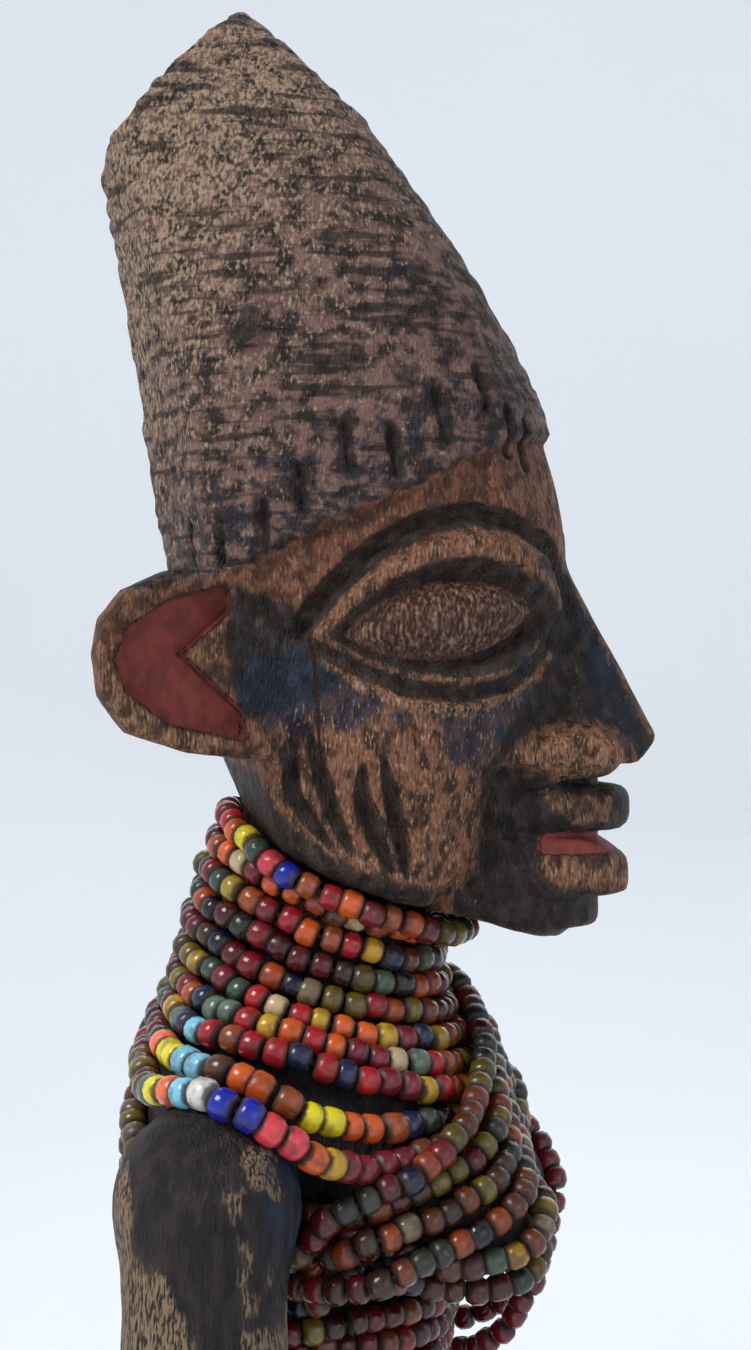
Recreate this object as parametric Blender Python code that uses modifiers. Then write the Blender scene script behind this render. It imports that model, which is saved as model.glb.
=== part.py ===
# A carved wooden twin figure (ibeji) standing on a round base, hung with strings of glass beads.
# The figure looks toward -Y and its right hand is at -X. The origin is the middle of the underside.

import math

import bpy
import numpy as np
import openvdb

# Driving sizes in metres
CARVING_HEIGHT = 0.289
BASE_HEIGHT = 0.011
BASE_RADIUS = 0.034
BASE_EDGE = 0.001
BEAD_DIAMETER = 0.0029
BEAD_CLEARANCE = 0.0003

# The carving is a free form, kept as shares of its own height: one step is a
# 289th of the height from the soles to the crown. Levels are counted in steps,
# and the soles stand at level 11.
SOLE_LEVEL = 11.0
CROWN_LEVEL = 300.0
STEP = CARVING_HEIGHT / (CROWN_LEVEL - SOLE_LEVEL)
SOLE_SINK = 0.6

# Fineness of the meshes: the carving's sampling in steps, its faces, and the tubes that stand for strings
SURFACE_SPACING = 0.9
CARVING_LOW = (-46.0, -34.0, 8.0)
CARVING_HIGH = (46.0, 46.0, 304.0)
WOOD_TRIANGLES = 5000
BASE_SIDES = 48
TUBE_SHORTFALL = 0.0004
TUBE_SPACING = 5.0
FAR = 30.0

# Mean colours of the families of strings
BEAD_COLOURS = {
    "neck": (0.32, 0.12, 0.06),
    "sash": (0.26, 0.13, 0.06),
    "waist": (0.28, 0.05, 0.04),
    "hanging": (0.20, 0.01, 0.015),
}


def smooth_min(a, b, reach):
    """Join two distances with a fillet."""
    overlap = np.maximum(reach - np.abs(a - b), 0.0)
    return np.minimum(a, b) - overlap * overlap / (4.0 * reach)


def smooth_max(a, b, reach):
    """Cut one distance with another, leaving a rounded edge."""
    return -smooth_min(-a, -b, reach)


def ramp(value):
    """A soft step from 0 to 1."""
    t = np.clip(value, 0.0, 1.0)
    return t * t * (3.0 - 2.0 * t)


def smooth_table(rows, reach):
    """Columns of a table of sections, sampled each half step and rounded off over a reach."""
    table = np.array(rows, dtype=float)
    levels = np.arange(table[0, 0], table[-1, 0] + 0.25, 0.5)
    columns = [np.interp(levels, table[:, 0], table[:, k]) for k in range(1, table.shape[1])]
    count = int(reach)
    kernel = np.ones(2 * count + 1) / (2 * count + 1)
    smooth = []
    for column in columns:
        slope_low = column[1] - column[0]
        slope_high = column[-1] - column[-2]
        steps = np.arange(1, count + 1)
        padded = np.concatenate((column[0] - slope_low * steps[::-1], column,
                                 column[-1] + slope_high * steps))
        smooth.append(np.convolve(padded, kernel, mode="valid"))
    return levels, smooth


def stacked_sections(side, forward, level, table, middle_share, power):
    """Distance to a form whose level sections are rounded boxes: back, front and half width."""
    levels, (back, front, half) = table
    back_here = np.interp(level, levels, back)
    front_here = np.interp(level, levels, front)
    half_here = np.interp(level, levels, half)
    middle = back_here + middle_share * (front_here - back_here)
    reach = np.where(forward > middle, front_here - middle, middle - back_here)
    across = side / half_here
    along = np.abs(forward - middle) / reach
    norm = (across ** power + along ** power) ** (1.0 / power) + 1e-6
    gradient = np.hypot(across ** (power - 1) / half_here, along ** (power - 1) / reach)
    gradient = gradient / norm ** (power - 1)
    front_slope = np.interp(level, levels, np.gradient(front, levels))
    half_slope = np.interp(level, levels, np.gradient(half, levels))
    share = (along / norm) ** 2
    lean = share * np.where(forward > middle, front_slope, 0.0) + (1.0 - share) * half_slope
    return (norm - 1.0) / np.maximum(gradient, 1e-3) / np.sqrt(1.0 + lean * lean)


def ellipsoid(side, forward, level, centre, radii):
    """Distance to an ellipsoid, near enough close to its surface."""
    p = ((side - centre[0]) / radii[0], (forward - centre[1]) / radii[1],
         (level - centre[2]) / radii[2])
    outer = np.sqrt(p[0] ** 2 + p[1] ** 2 + p[2] ** 2) + 1e-6
    inner = np.sqrt((p[0] / radii[0]) ** 2 + (p[1] / radii[1]) ** 2 + (p[2] / radii[2]) ** 2)
    return outer * (outer - 1.0) / (inner + 1e-6)


def limb(side, forward, level, joints):
    """Distance to a chain of tapered round rods through joints (side, forward, level, radius)."""
    nearest = np.full(side.shape, FAR)
    for start, end in zip(joints[:-1], joints[1:]):
        run = [end[k] - start[k] for k in range(4)]
        length = run[0] ** 2 + run[1] ** 2 + run[2] ** 2
        t = (side - start[0]) * run[0] + (forward - start[1]) * run[1] + (level - start[2]) * run[2]
        t = np.clip(t / length, 0.0, 1.0)
        gap = np.sqrt((side - start[0] - t * run[0]) ** 2 + (forward - start[1] - t * run[1]) ** 2
                      + (level - start[2] - t * run[2]) ** 2)
        nearest = smooth_min(nearest, gap - start[3] - t * run[3], 1.5)
    return nearest


def stroke(across, level, points):
    """Distance in the plane of the cheek from a carved line drawn through points."""
    nearest = np.full(across.shape, FAR)
    for (a0, l0), (a1, l1) in zip(points[:-1], points[1:]):
        da = a1 - a0
        dl = l1 - l0
        t = np.clip(((across - a0) * da + (level - l0) * dl) / (da * da + dl * dl), 0.0, 1.0)
        nearest = np.minimum(nearest, np.hypot(across - a0 - t * da, level - l0 - t * dl))
    return nearest


# Head and coiffure: level, back, front, half width of the outer surface
HEAD_SECTIONS = smooth_table((
    (186, -8.0, 21.0, 14.0),
    (196, -8.5, 23.0, 16.5),
    (204, -9.8, 24.6, 18.3),
    (212, -11.5, 27.2, 19.4),
    (217, -12.6, 29.6, 19.8),
    (222, -13.8, 30.4, 20.0),
    (230, -15.2, 30.9, 20.0),
    (240, -17.1, 30.9, 19.6),
    (246, -18.1, 29.9, 19.2),
    (252, -19.0, 27.9, 18.7),
    (258, -19.9, 25.3, 18.0),
    (268, -21.6, 20.2, 16.1),
    (278, -23.4, 13.5, 13.4),
    (284, -24.5, 9.3, 11.4),
    (290, -25.5, 4.5, 9.0),
    (296, -26.5, -1.8, 6.0),
    (301, -27.3, -7.4, 3.0),
    (306, -28.1, -13.5, 1.0),
), 4)
HEAD_MIDDLE = 0.44
HEAD_POWER = 2.4
CROWN_CORNER = (-24.4, 282.4)
CROWN_TIP = (-8.3, 300.4)

# Hairline, forward and level, and how far the coiffure stands out from the face
HAIRLINE = ((-30.0, 231.0), (-12.0, 233.0), (-4.0, 235.2), (2.5, 238.6), (7.3, 241.0),
            (12.0, 243.0), (16.2, 245.0), (20.3, 247.4), (24.2, 249.6), (28.0, 251.0), (40.0, 252.0))
HAIR_STEP = 1.2

# Planes that trim the head: along the top of the coiffure, down its front and back ridges, and
# under the jaw. A facet is given as its share forward, its share sideways and its cut.
CROWN_CURVE = 0.012
JAW_CURVE = 0.006
JAW_DROP = 0.8
FRONT_FACET = (0.72, 0.30, 0.74)
BACK_FACET = (0.86, 0.48, 0.6)
FACET_LEVEL = 240.0

# Carved lines on the side of the face, as forward and level on its surface
EYE_OUTER = (6.4, 228.2)
EYE_INNER = (27.8, 231.6)
EYE_HALF_HEIGHT = 4.6
BROW_GROOVE = ((1.8, 228.3), (6.1, 233.6), (10.4, 237.4), (15.5, 240.2), (20.4, 241.4),
               (25.0, 240.6), (28.7, 237.9), (29.6, 233.5))
UPPER_LID = ((3.6, 227.8), (7.2, 231.9), (11.6, 235.3), (16.4, 237.4), (21.0, 238.0),
             (25.1, 236.6), (27.9, 233.6), (28.6, 231.4))
LOWER_LID = ((4.6, 228.2), (9.3, 225.6), (14.0, 224.0), (20.0, 223.4), (25.1, 224.7), (28.2, 230.0))
CRESCENT = ((5.2, 226.2), (9.0, 223.3), (13.8, 221.1), (19.1, 220.5), (23.9, 222.0), (28.2, 226.3))
LOWER_GROOVE = ((3.4, 227.4), (9.2, 224.5), (13.9, 222.5), (19.6, 221.9), (24.6, 223.3),
                (28.6, 228.0), (29.3, 231.5))
SCARS = (((2.3, 218.8), (1.2, 215.6), (1.4, 211.3), (3.2, 208.4), (5.9, 205.3)),
         ((3.0, 218.6), (4.6, 213.4), (5.8, 209.2), (7.9, 204.8)),
         ((9.3, 214.6), (9.0, 210.8), (10.3, 206.8), (12.2, 202.8)),
         ((11.5, 215.1), (12.4, 210.2), (13.2, 205.4), (13.6, 202.2)))
CHEEK_EDGE = ((24.4, 214.0), (22.6, 210.6), (22.0, 206.2), (20.8, 202.8), (17.5, 199.6))
HAIR_NOTCHES = ((-12.0, 238.6), (-6.1, 238.4), (-1.4, 240.1), (2.5, 243.8), (7.1, 248.0),
                (11.9, 247.9), (16.4, 251.8), (20.2, 254.8), (23.6, 250.6), (26.0, 249.4))
NOTCH_HALF_HEIGHT = 2.4
NOTCH_LEAN = 0.4

# Relief of the eye: depth of the socket, its margin below and above the eye, rise of the ball
SOCKET_DEPTH = 2.2
SOCKET_MARGIN = (0.8, 2.2)
SOCKET_EDGE = 0.9
BALL_RISE = 3.7

# Ridges along a line: height, fall to the sides and half width of the top
UPPER_LID_FORM = (1.1, 1.3, 0.9)
LOWER_LID_FORM = (0.4, 1.6, 0.35)
CRESCENT_FORM = (0.6, 0.7, 0.2)

# Cuts along a line: depth and half width
BROW_CUT = (1.9, 1.4)
LOWER_CUT = (1.0, 0.9)
CHEEK_CUT = (1.6, 2.0)
SCAR_CUT = (1.5, 0.95)
NOTCH_CUT = (1.3, 0.8)


def face_reach(forward, level):
    """How far round the face a surface point lies, from the middle of the front."""
    levels, (back, front, half) = HEAD_SECTIONS
    back_here = np.interp(level, levels, back)
    front_here = np.interp(level, levels, front) - HAIR_STEP
    half_here = np.interp(level, levels, half) - HAIR_STEP
    middle = back_here + HEAD_MIDDLE * (front_here - back_here)
    reach = np.where(forward > middle, front_here - middle, middle - back_here)
    along = np.clip(np.abs(forward - middle) / reach, 0.0, 1.0)
    side = half_here * (1.0 - along ** HEAD_POWER) ** (1.0 / HEAD_POWER)
    return chart_across(side, forward, level)


# The chart unrolls the face: the angle about the head's middle turned into length round a mean section
CHART_ANGLES = np.linspace(0.0, math.pi, 181)
CHART_HALF = 18.8
CHART_FRONT = 24.0
CHART_BACK = 19.0


def chart_lengths():
    """Length round the mean section for each chart angle."""
    reach = np.where(CHART_ANGLES < math.pi / 2, CHART_FRONT, CHART_BACK)
    sine = np.abs(np.sin(CHART_ANGLES))
    cosine = np.abs(np.cos(CHART_ANGLES))
    radius = ((sine / CHART_HALF) ** HEAD_POWER + (cosine / reach) ** HEAD_POWER) ** (-1.0 / HEAD_POWER)
    side = radius * np.sin(CHART_ANGLES)
    forward = radius * np.cos(CHART_ANGLES)
    steps = np.hypot(np.diff(side), np.diff(forward))
    return np.concatenate(([0.0], np.cumsum(steps)))


CHART_LENGTHS = chart_lengths()


def chart_across(side, forward, level):
    """Length round the face from the middle of the front to the direction of a point."""
    levels, (back, front, half) = HEAD_SECTIONS
    back_here = np.interp(level, levels, back)
    front_here = np.interp(level, levels, front)
    middle = back_here + HEAD_MIDDLE * (front_here - back_here)
    angle = np.arctan2(side, forward - middle)
    return np.interp(angle, CHART_ANGLES, CHART_LENGTHS)


def charted(points):
    """Turn carved points (forward, level) into chart places (length round, level)."""
    return [(float(face_reach(np.array(f), np.array(l))), l) for f, l in points]


def groove(relief, line, cut):
    """Cut a V groove into the relief along a line of distances."""
    depth, half_width = cut
    return smooth_min(relief, -depth + line * depth / half_width, 0.25)


def ridge(relief, line, form, fillet):
    """Raise a ridge out of the relief along a line of distances."""
    height, fall, half_top = form
    return smooth_max(relief, height - fall * np.maximum(line - half_top, 0.0), fillet)


def eye_lens(across, level):
    """Distance from the almond of the eye, less than 0 inside it."""
    (a0, l0), (a1, l1) = charted((EYE_OUTER, EYE_INNER))
    centre = (0.5 * (a0 + a1), 0.5 * (l0 + l1))
    half = 0.5 * math.hypot(a1 - a0, l1 - l0)
    tilt = math.atan2(l1 - l0, a1 - a0)
    u = (across - centre[0]) * math.cos(tilt) + (level - centre[1]) * math.sin(tilt)
    v = -(across - centre[0]) * math.sin(tilt) + (level - centre[1]) * math.cos(tilt)
    radius = (half ** 2 + EYE_HALF_HEIGHT ** 2) / (2.0 * EYE_HALF_HEIGHT)
    return np.hypot(u, np.abs(v) + radius - EYE_HALF_HEIGHT) - radius


def face_relief(side, forward, level):
    """Height of the carving over the plain side of the face."""
    across = chart_across(side, forward, level)
    lens = eye_lens(across, level)
    below, above = SOCKET_MARGIN
    socket = below + (above - below) * ramp((level - EYE_INNER[1] + 2.0) / 3.0)
    relief = -SOCKET_DEPTH * ramp((socket - lens) / SOCKET_EDGE)
    ball = np.sqrt(np.clip(-lens / EYE_HALF_HEIGHT, 0.0, 1.0))
    relief = smooth_max(relief, BALL_RISE * ball - SOCKET_DEPTH, 0.3)
    relief = ridge(relief, stroke(across, level, charted(UPPER_LID)), UPPER_LID_FORM, 0.4)
    relief = ridge(relief, stroke(across, level, charted(LOWER_LID)), LOWER_LID_FORM, 0.3)
    relief = ridge(relief, stroke(across, level, charted(CRESCENT)), CRESCENT_FORM, 0.5)
    relief = groove(relief, stroke(across, level, charted(BROW_GROOVE)), BROW_CUT)
    relief = groove(relief, stroke(across, level, charted(LOWER_GROOVE)), LOWER_CUT)
    relief = groove(relief, stroke(across, level, charted(CHEEK_EDGE)), CHEEK_CUT)
    for scar in SCARS:
        relief = groove(relief, stroke(across, level, charted(scar)), SCAR_CUT)
    return relief


def notch_relief(side, forward, level):
    """Short upright cuts along the hairline."""
    across = chart_across(side, forward, level)
    relief = np.zeros(side.shape)
    for a, l in charted(HAIR_NOTCHES):
        line = ((a, l - NOTCH_HALF_HEIGHT), (a - NOTCH_LEAN, l + NOTCH_HALF_HEIGHT))
        relief = groove(relief, stroke(across, level, line), NOTCH_CUT)
    return np.minimum(relief, 0.0)


def block(side, forward, level, centre, radii, power, low, high, edge):
    """An upright rounded block: a level section between two levels with soft edges."""
    across = np.abs(side - centre[0]) / radii[0]
    along = np.abs(forward - centre[1]) / radii[1]
    norm = (across ** power + along ** power) ** (1.0 / power) + 1e-6
    gradient = np.hypot(across ** (power - 1) / radii[0], along ** (power - 1) / radii[1])
    wall = (norm - 1.0) * norm ** (power - 1) / np.maximum(gradient, 1e-3)
    cap = np.maximum(level - high, low - level)
    return smooth_max(wall, cap, edge)


# Nose, as forward and level: the ridge's upper end and slope, its half width, and how far the
# walls run out for each step back from the ridge
NOSE_TOP = (29.4, 237.0)
NOSE_SLOPE = 0.535
NOSE_RIDGE_HALF = 1.3
NOSE_WALL_LEVELS = (212.0, 218.0, 228.0, 238.0)
NOSE_WALL_RUN = (0.66, 0.60, 0.55, 0.80)
NOSE_UNDERSIDE = 214.2
NOSE_TIP = (39.9, 216.8)
NOSE_TIP_LEAN = math.radians(36.9)
NOSE_BACK = 20.0
NOSE_END = 240.0
WING = ((6.6, 30.6, 215.6), (4.4, 6.0, 3.0))
WING_UNDERSIDE = 213.2


def nose(side, forward, level):
    """A long straight nose with a worn ridge and broad wings."""
    line = NOSE_TOP[0] + (NOSE_TOP[1] - level) * NOSE_SLOPE
    run = np.interp(level, NOSE_WALL_LEVELS, NOSE_WALL_RUN)
    wall = (side - NOSE_RIDGE_HALF - run * (line - forward)) / np.sqrt(1.0 + run ** 2)
    front = (forward - line) / math.hypot(1.0, NOSE_SLOPE)
    tip = (forward - NOSE_TIP[0]) * math.cos(NOSE_TIP_LEAN) - (level - NOSE_TIP[1]) * math.sin(NOSE_TIP_LEAN)
    body = smooth_max(smooth_max(wall, front, 0.8), smooth_max(NOSE_UNDERSIDE - level, tip, 0.8), 0.8)
    body = smooth_max(body, level - NOSE_END, 2.0)
    body = smooth_max(body, NOSE_BACK - forward, 1.0)
    wing = ellipsoid(side, forward, level, *WING)
    wing = smooth_max(wing, WING_UNDERSIDE - level, 0.6)
    return smooth_min(body, wing, 1.0)


# Lips, the gum between them and the chin, as blocks: middle (side, forward), half width and
# reach, squareness, lower and upper level, and rounding of the edges
UPPER_LIP = ((0.0, 24.4), (9.4, 12.6), 2.2, 206.8, 211.8, 2.0)
LOWER_LIP = ((0.0, 24.4), (9.4, 12.4), 2.2, 199.6, 206.1, 1.2)
GUM = ((0.0, 22.0), (8.8, 11.4), 2.2, 196.0, 214.0, 1.0)
CHIN = ((0.0, 19.5), (10.4, 10.9), 2.5, 194.6, 201.0, 2.2)
LIP_SLANT_AT = (36.8, 203.6)
LIP_SLANT = math.radians(60)


def mouth(side, forward, level):
    """Two full lips that stand out like shelves over a set back chin."""
    upper = block(side, forward, level, *UPPER_LIP)
    lower = block(side, forward, level, *LOWER_LIP)
    slant = (forward - LIP_SLANT_AT[0]) * math.cos(LIP_SLANT)
    slant = slant + (level - LIP_SLANT_AT[1]) * math.sin(LIP_SLANT)
    lower = smooth_max(lower, slant, 0.8)
    lips = np.minimum(np.minimum(upper, lower), block(side, forward, level, *GUM))
    return smooth_min(lips, block(side, forward, level, *CHIN), 0.8)


# Ear: a thick upright leaf that stands back and out from the head, drawn as forward and level
EAR_ROOT = (18.6, -3.4)
EAR_FLARE = math.radians(30)
EAR_OUTLINE = ((1.0, 235.4), (-7.3, 235.6), (-11.0, 235.1), (-15.0, 233.1), (-17.2, 230.1),
               (-17.8, 226.2), (-17.3, 221.8), (-14.8, 218.0), (-9.2, 215.9), (-4.0, 215.2), (1.0, 215.0))
EAR_HOLLOW = ((-5.9, 233.4), (-11.1, 231.9), (-15.0, 229.0), (-16.2, 225.6), (-15.1, 222.4),
              (-11.1, 219.0), (-3.8, 217.2), (-4.3, 220.2), (-10.1, 226.2), (-5.4, 231.0))
EAR_HALF_THICK = 2.1
EAR_DEPTH = 2.4


def ear_line(points):
    """Turn ear points (forward, level) into places along the leaf and up it."""
    return [((EAR_ROOT[1] - f) / math.cos(EAR_FLARE), l) for f, l in points]


def outline_distance(across, level, corners):
    """Distance in a plane from a closed outline, less than 0 inside it."""
    closed = list(corners) + [corners[0]]
    inside = np.zeros(across.shape, dtype=bool)
    for (a0, l0), (a1, l1) in zip(closed[:-1], closed[1:]):
        if l0 != l1:
            crossing = a0 + (level - l0) * (a1 - a0) / (l1 - l0)
            inside ^= ((l0 > level) != (l1 > level)) & (across < crossing)
    nearest = stroke(across, level, closed)
    return np.where(inside, -nearest, nearest)


def ear(side, forward, level):
    """The ear leaf with its hollow and the pointed lobe before it."""
    out = side - EAR_ROOT[0]
    ahead = forward - EAR_ROOT[1]
    along = out * math.sin(EAR_FLARE) - ahead * math.cos(EAR_FLARE)
    face = out * math.cos(EAR_FLARE) + ahead * math.sin(EAR_FLARE)
    outline = outline_distance(along, level, ear_line(EAR_OUTLINE))
    leaf = smooth_max(outline, np.abs(face) - EAR_HALF_THICK, 0.8)
    hollow = outline_distance(along, level, ear_line(EAR_HOLLOW))
    hollow = smooth_max(hollow, EAR_HALF_THICK - EAR_DEPTH - face, 0.4)
    return smooth_max(leaf, -hollow, 0.3)


# Lower edge of the jaw and nape, forward and level
JAW_LINE = ((-12.0, 220.0), (-9.0, 214.3), (-7.2, 211.0), (-4.9, 207.8), (-0.6, 204.6), (5.0, 201.6),
            (11.8, 199.2), (19.1, 198.0), (29.0, 194.9), (40.0, 191.5))

FACE_LEVELS = (196.0, 262.0)
FACE_BACK = -14.0
FACE_SHELL = 5.0


def head(side, forward, level):
    """Head, coiffure, face and ears."""
    form = stacked_sections(side, forward, level, HEAD_SECTIONS, HEAD_MIDDLE, HEAD_POWER)
    run = math.hypot(CROWN_TIP[0] - CROWN_CORNER[0], CROWN_TIP[1] - CROWN_CORNER[1])
    normal = ((CROWN_CORNER[1] - CROWN_TIP[1]) / run, (CROWN_TIP[0] - CROWN_CORNER[0]) / run)
    slope = normal[0] * (forward - CROWN_CORNER[0]) + normal[1] * (level - CROWN_CORNER[1])
    form = smooth_max(form, slope + side * side * CROWN_CURVE, 1.2)
    levels, (back, front, half) = HEAD_SECTIONS
    share, aside, cut = FRONT_FACET
    facet = (forward - np.interp(level, levels, front)) * share + side * aside - cut
    form = np.where(level > FACET_LEVEL, smooth_max(form, facet, 0.8), form)
    share, aside, cut = BACK_FACET
    facet = (np.interp(level, levels, back) - forward) * share + side * aside - cut
    form = smooth_max(form, facet, 1.5)
    hairline = np.interp(forward, [p[0] for p in HAIRLINE], [p[1] for p in HAIRLINE])
    form = form + HAIR_STEP * ramp(hairline - level + 0.5)
    jaw_level = np.interp(forward, [p[0] for p in JAW_LINE], [p[1] for p in JAW_LINE])
    jaw = (jaw_level - JAW_DROP + side * side * JAW_CURVE - level) * 0.85
    form = smooth_max(form, jaw, 2.0)
    low, high = FACE_LEVELS
    near = (np.abs(form) < FACE_SHELL) & (level > low) & (level < high) & (forward > FACE_BACK)
    carved = form[near]
    carved = carved - face_relief(side[near], forward[near], level[near])
    carved = carved - notch_relief(side[near], forward[near], level[near])
    form[near] = carved
    form = smooth_min(form, nose(side, forward, level), 0.8)
    lips = smooth_max(mouth(side, forward, level), jaw, 1.5)
    form = smooth_min(form, lips, 0.8)
    return smooth_min(form, ear(side, forward, level), 0.9)


# Neck and trunk: level, back, front, half width
NECK_SECTIONS = smooth_table((
    (172, -17.4, 18.0, 20.0),
    (178, -17.2, 16.5, 17.0),
    (184, -15.6, 14.6, 13.2),
    (190, -13.0, 13.4, 11.8),
    (196, -11.6, 13.0, 11.2),
    (204, -9.0, 13.6, 10.8),
    (214, -5.0, 15.0, 10.8),
), 4)
TRUNK_SECTIONS = smooth_table((
    (84, -14.0, 10.0, 16.0),
    (96, -17.5, 12.0, 21.0),
    (108, -16.0, 12.6, 19.5),
    (124, -11.8, 11.6, 14.4),
    (138, -12.0, 12.4, 14.2),
    (148, -13.2, 13.6, 15.0),
    (160, -14.8, 15.5, 16.2),
    (170, -15.6, 16.6, 17.2),
    (176, -15.0, 16.0, 19.0),
    (180, -14.5, 15.2, 19.5),
    (186, -12.5, 13.5, 15.0),
), 4)

# Joints of the limbs: side, forward, level, radius
SHOULDER = ((14.0, -3.0, 180.5, 4.0), (29.0, -5.0, 172.5, 8.0))
ARM = ((31.0, -5.0, 169.5, 8.8), (32.6, -4.8, 156.0, 8.0), (32.8, -7.5, 138.0, 6.8),
       (29.0, -2.0, 120.0, 6.2), (23.0, 7.5, 103.0, 5.6))
HAND = ((22.6, 8.2, 103.0, 5.0), (20.0, 12.0, 92.0, 3.8))
LEG = ((10.5, -1.5, 98.0, 11.5), (12.0, 3.5, 78.0, 10.6), (12.0, 6.5, 60.0, 8.8),
       (12.0, 0.5, 42.0, 9.4), (12.0, -2.5, 20.0, 7.0))
FOOT = ((12.0, -4.5, 14.6, 5.8), (13.2, 10.0, 13.2, 6.0), (14.0, 19.0, 12.2, 4.8))
SEAT = ((9.5, -9.5, 96.0), (9.5, 10.0, 11.0))
BREAST = ((11.0, 13.0, 165.6), (8.6, 12.0, 8.0))
BREAST_TIP = ((12.0, 22.0, 163.8), (4.2, 4.6, 4.0))

# Ends of the trunk and of the neck inside the other forms, and the levels between which each form counts
TRUNK_ENDS = (88.0, 181.0)
NECK_ENDS = (168.0, 212.0)
TRUNK_LEVELS = (78.0, 222.0)
SHOULDER_LEVEL = 186.0


def trunk(side, forward, level):
    """Neck, chest, back, breasts and hips."""
    body = stacked_sections(side, forward, level, TRUNK_SECTIONS, 0.5, 2.5)
    body = smooth_max(body, np.maximum(level - TRUNK_ENDS[1], TRUNK_ENDS[0] - level), 6.0)
    neck = stacked_sections(side, forward, level, NECK_SECTIONS, 0.48, 2.1)
    neck = smooth_max(neck, np.maximum(level - NECK_ENDS[1], NECK_ENDS[0] - level), 2.0)
    form = smooth_min(body, neck, 5.0)
    breast = ellipsoid(side, forward, level, *BREAST)
    tip = ellipsoid(side, forward, level, *BREAST_TIP)
    return smooth_min(form, smooth_min(breast, tip, 3.0), 2.5)


def limbs(side, forward, level):
    """Arms with the hands on the thighs, short bent legs, and feet."""
    arm = limb(side, forward, level, ARM)
    arm = smooth_min(arm, limb(side, forward, level, SHOULDER), 5.0)
    hand = limb(side, forward, level, HAND)
    leg = limb(side, forward, level, LEG)
    seat = ellipsoid(side, forward, level, *SEAT)
    foot = limb(side, forward, level, FOOT)
    foot = smooth_max(foot, SOLE_LEVEL - SOLE_SINK - level, 0.4)
    leg = smooth_min(smooth_min(leg, seat, 4.0), foot, 3.0)
    return arm, hand, leg


def wood_distance(x, forward, level):
    """Distance to the whole carving, in steps, less than 0 inside the wood."""
    side = np.abs(x)
    upper = level > SHOULDER_LEVEL
    middle = (level > TRUNK_LEVELS[0]) & (level < TRUNK_LEVELS[1])
    lower = level < SHOULDER_LEVEL
    form = np.full(side.shape, FAR)
    form[middle] = trunk(side[middle], forward[middle], level[middle])
    arm, hand, leg = limbs(side[lower], forward[lower], level[lower])
    lower_form = smooth_min(form[lower], arm, 1.5)
    lower_form = smooth_min(lower_form, leg, 3.0)
    form[lower] = smooth_min(lower_form, hand, 1.0)
    form[upper] = smooth_min(form[upper], head(side[upper], forward[upper], level[upper]), 1.5)
    return form


def surface_points(distance, low, high, spacing):
    """Points and faces of the zero surface of a distance function, in steps."""
    block_size = 4
    shape = [int(math.ceil((high[k] - low[k]) / spacing / block_size)) * block_size for k in range(3)]
    axes = [low[k] + spacing * np.arange(shape[k]) for k in range(3)]
    middles = [axis.reshape(-1, block_size).mean(axis=1) for axis in axes]
    grid = np.meshgrid(*middles, indexing="ij")
    coarse = distance(*(part.ravel() for part in grid)).reshape(grid[0].shape)
    near = np.abs(coarse) < spacing * block_size * 1.6
    field = coarse.astype(np.float32)
    for axis in range(3):
        near = np.repeat(near, block_size, axis=axis)
        field = np.repeat(field, block_size, axis=axis)
    i, j, k = np.nonzero(near)
    field[i, j, k] = distance(axes[0][i], axes[1][j], axes[2][k])
    volume = openvdb.FloatGrid()
    volume.copyFromArray(field)
    points, quads = volume.convertToQuads(isovalue=0.0)
    return points * spacing + np.array(low), quads


# Strings of beads. Each family is a stack of loops about an axis through the body:
# origin and axis (side, forward, level), the height of the first loop and its tilt.
BEAD_RADIUS = BEAD_DIAMETER / 2.0 / STEP
BEAD_GAP = BEAD_CLEARANCE / STEP
NECK_RINGS = 10
NECK_ORIGIN = (0.0, 0.8, 202.6)
NECK_TILT = 5.8
NECK_SPREAD = (0.0, 0.0, 0.0, 0.2, 0.4, 0.6, 1.0, 1.6, 6.2, 9.2)
SASH_STRANDS = 6
SASH_ORIGIN = (0.0, 1.0, 168.0)
SASH_AXIS = (-0.475, -0.12, 0.87)
SASH_START = 10.4
WAIST_STRANDS = 4
WAIST_ORIGIN = (0.0, 0.0, 154.5)
HANGING_LOOPS = (
    ((26.0, -2.0, 178.5), (26.0, 8.0, 174.0), (24.0, 16.0, 168.5), (19.0, 23.5, 161.0),
     (16.0, 26.5, 150.0), (18.0, 21.0, 142.0), (20.5, 9.0, 145.0), (20.5, 0.0, 149.0),
     (20.5, -11.0, 156.0), (22.0, -19.0, 166.0), (25.5, -13.0, 175.0)),
    ((21.0, -2.0, 184.5), (21.0, 12.0, 178.0), (17.0, 22.5, 170.0), (11.0, 27.0, 161.0),
     (9.0, 25.5, 150.0), (12.0, 21.5, 141.0), (20.0, 9.0, 140.0), (20.5, 0.0, 143.0),
     (20.5, -11.0, 149.0), (19.0, -20.5, 163.0), (20.0, -16.0, 178.0)),
)
LOOP_SAMPLES = 72
MARCH_STEP = 0.25
STRING_PLAY = 0.25
SETTLING_ROUNDS = 54

# Reach of the fillet by which a taut string passes over the hollow between the chest and the arm
SHOULDER_BRIDGE = 14.0


def squared_gaps(points, others):
    """Squares of the distances between two sets of points."""
    squares = (points ** 2).sum(axis=1)[:, None] + (others ** 2).sum(axis=1)[None, :]
    return np.maximum(squares - 2.0 * points @ others.T, 0.0)


def trunk_with_shoulders(side, forward, level):
    """The trunk and the shoulders, with the hollow before the arm bridged as a taut string would."""
    shoulder = smooth_min(limb(side, forward, level, SHOULDER), limb(side, forward, level, ARM), 5.0)
    return smooth_min(trunk(side, forward, level), shoulder, SHOULDER_BRIDGE)


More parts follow.
